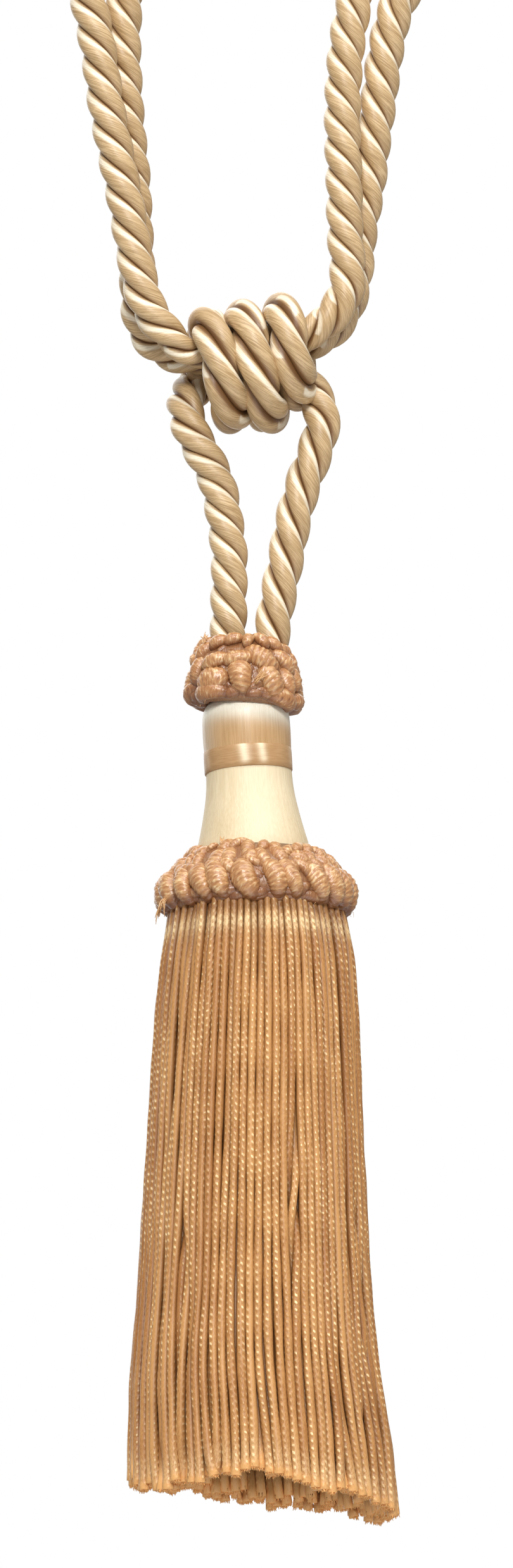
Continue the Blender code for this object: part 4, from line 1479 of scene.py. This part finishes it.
    def cords(self, lines: Array, kind: Layer, roll: Array, tone: Array) -> Grid:
        """Cords that are slightly flat in section and twist slowly.

        The section is a circle pressed to an oval whose long way lies round the skirt; the knit's
        own direction rolls slowly along the cord, and the cut end flares a little.

        Args:
            lines: middle points, [cord, row, xyz].
            kind: the ring that they hang in.
            roll: how far each cord's knit is turned.
            tone: from dark to pale, for each cord.

        Returns:
            One surface for each cord.
        """
        cords = len(lines)
        _, side, cross = frames(lines, unit(lines * (1, 1, 0)))
        column = around(kind.columns)
        run = lengths_along(lines)[..., None]
        from_tip = run[:, -1:] - run
        size = self.cord_size(lines[..., 2])[..., None] / 2
        roll = roll[:, None, None]
        uneven = 1 + 0.05 * np.sin(run / 5.5 + 3 * roll) + 0.05 * np.sin(run / 2.3 + roll)
        radius = size * uneven * (1 + 0.16 * np.exp(-(from_tip / 2.2) ** 2))
        points = sweep(lines, side, cross, 0.96 * radius * np.cos(column), 1.03 * radius * np.sin(column))
        knit = column + roll + 0.8 * np.sin(run / 31 + 2 * roll)
        zero = 0 * knit
        shift = 41.0 * np.arange(cords)[:, None, None] + roll       # so that no two cords repeat a pattern
        laid = np.stack([run + shift + zero, np.cos(knit), np.sin(knit)], axis=-1)
        # Painted light: a band just under the ruff, and a weaker one near the cut.
        lit = np.exp(-((run - 10.8) / 2.8) ** 2) + 0.5 * np.exp(-((from_tip - 4.0) / 4.0) ** 2)
        # Painted shadow just under the ruff.
        shaded = 0.65 * np.exp(-((run - 6.0) / 2.0) ** 2)
        outside = np.interp(-points[..., 2], -self.levels[:, 0], self.levels[:, 1])
        drift = np.interp(-points[..., 2], -self.levels[:, 0], self.levels[:, 3])
        reach = np.hypot(points[..., 0] - drift, points[..., 1])
        # Painted shade on the sides of each cord where it meets its neighbours.
        beside = 0.75 * np.clip((np.abs(np.sin(column)) - 0.62) / 0.38, 0, 1)
        end = np.exp(-(from_tip / 14) ** 2)
        # Painted shade: deeper inside the skirt, beside neighbours and under the ruff, fading towards the
        # cut.
        sunk = np.clip((outside - reach - 0.9) / 2.4 + beside + shaded, 0, 0.8) * (1 - 0.85 * end)
        # The cut's colour; on the inner rings, 5 mm long, it is painted light.
        cut = np.exp(-(from_tip / kind.tip) ** 2)
        return Grid(points * MM, {"laid": laid, "tone": tone[:, None, None] + zero, "sunk": sunk,
                                  "lit": lit + zero, "tip": cut + zero})

    def frays(self, ends: Array, each: Array, rng: np.random.Generator) -> Grid:
        """Threads that have come out of the knit at the cut: tapered, bent, splaying from each cord.

        Args:
            ends: middle points of every cord near its cut, two a few millimetres apart, [cord, 2, xyz].
            each: how many threads each cord has.
            rng: source of the random directions.

        Returns:
            One grid with a thin tube for each thread.
        """
        base = np.repeat(ends[:, 1], each, axis=0)
        down = unit(np.repeat(ends[:, 1] - ends[:, 0], each, axis=0))
        count = len(base)
        angle = rng.uniform(0, FULL_TURN, count)
        spread = np.column_stack([np.cos(angle), np.sin(angle), 0 * angle])
        root = base + spread * (1.22 * np.sqrt(rng.uniform(0.05, 1, count)))[:, None] - 0.8 * down
        length = rng.uniform(0.9, 1.6, count)[:, None, None]
        share = np.linspace(0, 1, 5)[None, :, None]
        splay = rng.normal(0.03, 0.10, (count, 1, 1))
        curl = rng.normal(0, 0.08, (count, 1, 1)) * np.cross(down, spread)[:, None]
        path = root[:, None] + length * (down[:, None] * share + splay * spread[:, None] * share ** 1.6
                                         + curl * share ** 2)
        _, side, cross = frames(path, np.array([0.3, 0.9, 0.1]))
        column = around(3)
        thin = rng.uniform(0.13, 0.21, (count, 1, 1)) * (1.05 - 0.6 * share ** 3)
        points = sweep(path, side, cross, thin * np.cos(column), thin * np.sin(column))
        zero = 0 * points[..., 0]
        laid = np.stack([share * length + zero + 3 * angle[:, None, None], zero + 1.0, zero], axis=-1)
        tone = rng.normal(0, 0.5, count).clip(-1, 1)[:, None, None] + zero
        return Grid(points * MM, {"laid": laid, "tone": tone, "sunk": zero, "lit": zero, "tip": zero + 0.85})

    def build(self) -> None:
        """Makes the three layers of cords and the frayed cut ends."""
        rng = np.random.default_rng(self.seed + 1)
        heights, place, layer = self.packed()
        tips = self.tips(place, layer, rng)
        roll = rng.normal(0, 0.65, len(layer))
        dull = np.array([x.dull for x in self.layers])[layer]
        # The dull of an inner ring is painted shade.
        tone = (rng.normal(0.05, 0.5, len(layer)) - dull).clip(-1.3, 1)
        finish = ChainetteFinish().material("knitted fringe cord")
        ends, each = [], []
        for number, kind in enumerate(self.layers):
            chosen = np.flatnonzero(layer == number)
            lines = self.lines(heights, place[:, chosen], tips[chosen], kind.row_gap)
            ends.append(lines[:, -2:])
            each.append(np.full(len(chosen), kind.fibres))
            grid = self.cords(lines, kind, roll[chosen], tone[chosen])
            replaced = ("fringe_skirt",) if number == 0 else ()
            Skin([grid]).piece(f"fringe_cords_{number + 1}", finish, "fringe", *replaced)
        frayed = self.frays(np.concatenate(ends), np.concatenate(each), rng)
        Skin([frayed]).piece("fringe_cut_ends", finish, "fringe")


# ---------------------------------------------------------------- studio

@dataclass(frozen=True)
class Lamp:
    """A very distant soft light.

    Attributes:
        name: its name.
        towards: direction from the tieback to the light.
        strength: what it gives a surface that faces it.
        spread: how wide it looks, in degrees.
    """

    name: str
    towards: tuple[float, float, float]
    strength: float
    spread: float

    def build(self) -> None:
        """Makes the light."""
        data = bpy.data.lights.new(self.name, "SUN")
        data.energy, data.angle = self.strength, math.radians(self.spread)
        hang_light(data, self.towards)


@dataclass(frozen=True)
class StripBox:
    """A long, low light box, level and square to the tieback.

    Attributes:
        name: its name.
        centre: where its middle is, from the origin.
        long, low: its sizes.
        strength: what it gives a surface that faces it at the origin.
    """

    name: str
    centre: tuple[float, float, float]
    long: float
    low: float
    strength: float

    def build(self) -> None:
        """Makes the light: its watts are pi times the square of its distance for each unit."""
        data = bpy.data.lights.new(self.name, "AREA")
        data.shape, data.size, data.size_y = "RECTANGLE", self.long, self.low
        data.energy = self.strength * math.pi * sum(c * c for c in self.centre)
        hang_light(data, self.centre)


def hang_light(data: bpy.types.Light, centre: tuple[float, float, float]) -> None:
    """Puts a light at a point, facing the origin with its long side level.

    Args:
        data: the light.
        centre: where it hangs.
    """
    made = bpy.data.objects.new(data.name, data)
    x, y, z = centre
    made.location = centre
    made.rotation_euler = (math.atan2(math.hypot(x, y), z), 0, math.atan2(y, x) + math.pi / 2)
    bpy.context.scene.collection.objects.link(made)


@dataclass
class Studio:
    """White surroundings, a pale floor, soft light from above and the photo's camera.

    The photo's frame is 810 x 2478 pixels at 6 pixels to a millimetre, and looks up at the tassel.
    """

    frame_height: float = 2478 / 6 * MM
    target_z: float = -0.266
    elevation: float = math.radians(-10.5)
    lens: float = 500.0
    sensor: float = 36.0
    floor_z: float = -2.0
    floor_half: float = 40.0
    ambient: float = 0.38
    lamps: tuple[Lamp | StripBox, ...] = (
        StripBox("overhead strip", (0.35, -1.35, 2.7), 5.0, 0.6, 2.8),
        Lamp("front", (0.0, -1.0, 0.42), 2.1, 16.0),
        Lamp("bounce from below", (0.2, -0.5, -1.0), 0.9, 60.0), Lamp("back", (-0.2, 0.9, 0.4), 1.5, 60.0))

    def camera(self) -> None:
        """A long lens at the distance where the frame's height fills the sensor."""
        data = bpy.data.cameras.new("camera")
        data.lens, data.sensor_width, data.sensor_fit = self.lens, self.sensor, "AUTO"
        data.clip_end = 100
        distance = self.frame_height / 2 / (self.sensor / 2 / self.lens)
        made = bpy.data.objects.new("camera", data)
        made.location = (0, -distance * math.cos(self.elevation),
                         self.target_z + distance * math.sin(self.elevation))
        made.rotation_euler = (math.pi / 2 - self.elevation, 0, 0)
        bpy.context.scene.collection.objects.link(made)
        bpy.context.scene.camera = made

    def surroundings(self) -> None:
        """Surroundings that look white and light the tieback softly."""
        world = bpy.data.worlds.new("white surroundings")
        world.use_nodes = True
        tree = world.node_tree
        soft = tree.nodes["Background"]
        soft.inputs["Color"].default_value = (1, 1, 1, 1)
        soft.inputs["Strength"].default_value = self.ambient
        white = tree.nodes.new("ShaderNodeBackground")
        white.inputs["Color"].default_value = (1, 1, 1, 1)
        seen = tree.nodes.new("ShaderNodeLightPath")
        mix = tree.nodes.new("ShaderNodeMixShader")
        tree.links.new(seen.outputs["Is Camera Ray"], mix.inputs[0])
        tree.links.new(soft.outputs[0], mix.inputs[1])
        tree.links.new(white.outputs[0], mix.inputs[2])
        tree.links.new(mix.outputs[0], tree.nodes["World Output"].inputs["Surface"])
        bpy.context.scene.world = world
        bpy.context.scene.view_settings.view_transform = "Standard"

    def floor(self) -> None:
        """A pale floor well below the tassel, which throws no light and no shadow on it."""
        half = self.floor_half
        mesh = bpy.data.meshes.new("floor")
        corners = [(-half, -half, self.floor_z), (half, -half, self.floor_z),
                   (half, half, self.floor_z), (-half, half, self.floor_z)]
        mesh.from_pydata(corners, [], [(0, 1, 2, 3)])
        pale = bpy.data.materials.new("pale floor")
        pale.use_nodes = True
        shader = pale.node_tree.nodes["Principled BSDF"]
        for socket, value in (("Base Color", (0.93, 0.93, 0.93, 1)), ("Roughness", 0.9),
                              ("Emission Color", (1, 1, 1, 1)), ("Emission Strength", 0.3)):
            shader.inputs[socket].default_value = value
        mesh.materials.append(pale)
        floor = bpy.data.objects.new("floor", mesh)
        floor.visible_diffuse = floor.visible_glossy = floor.visible_shadow = False
        bpy.context.scene.collection.objects.link(floor)

    def build(self) -> None:
        """Makes the camera, the surroundings, the floor and the lights."""
        self.camera()
        self.surroundings()
        self.floor()
        for lamp in self.lamps:
            lamp.build()


def main() -> None:
    """Builds the studio and every piece of the tieback."""
    logging.basicConfig(level=logging.INFO, format="%(name)s: %(message)s")
    Studio().build()
    RopeWork().build()
    SatinHead().build()
    gimp = GimpFinish().material("peach gimp")
    for ruff in ruffs():
        ruff.build(gimp)
    Fringe().build()
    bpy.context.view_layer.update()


if __name__ == "__main__":
    main()
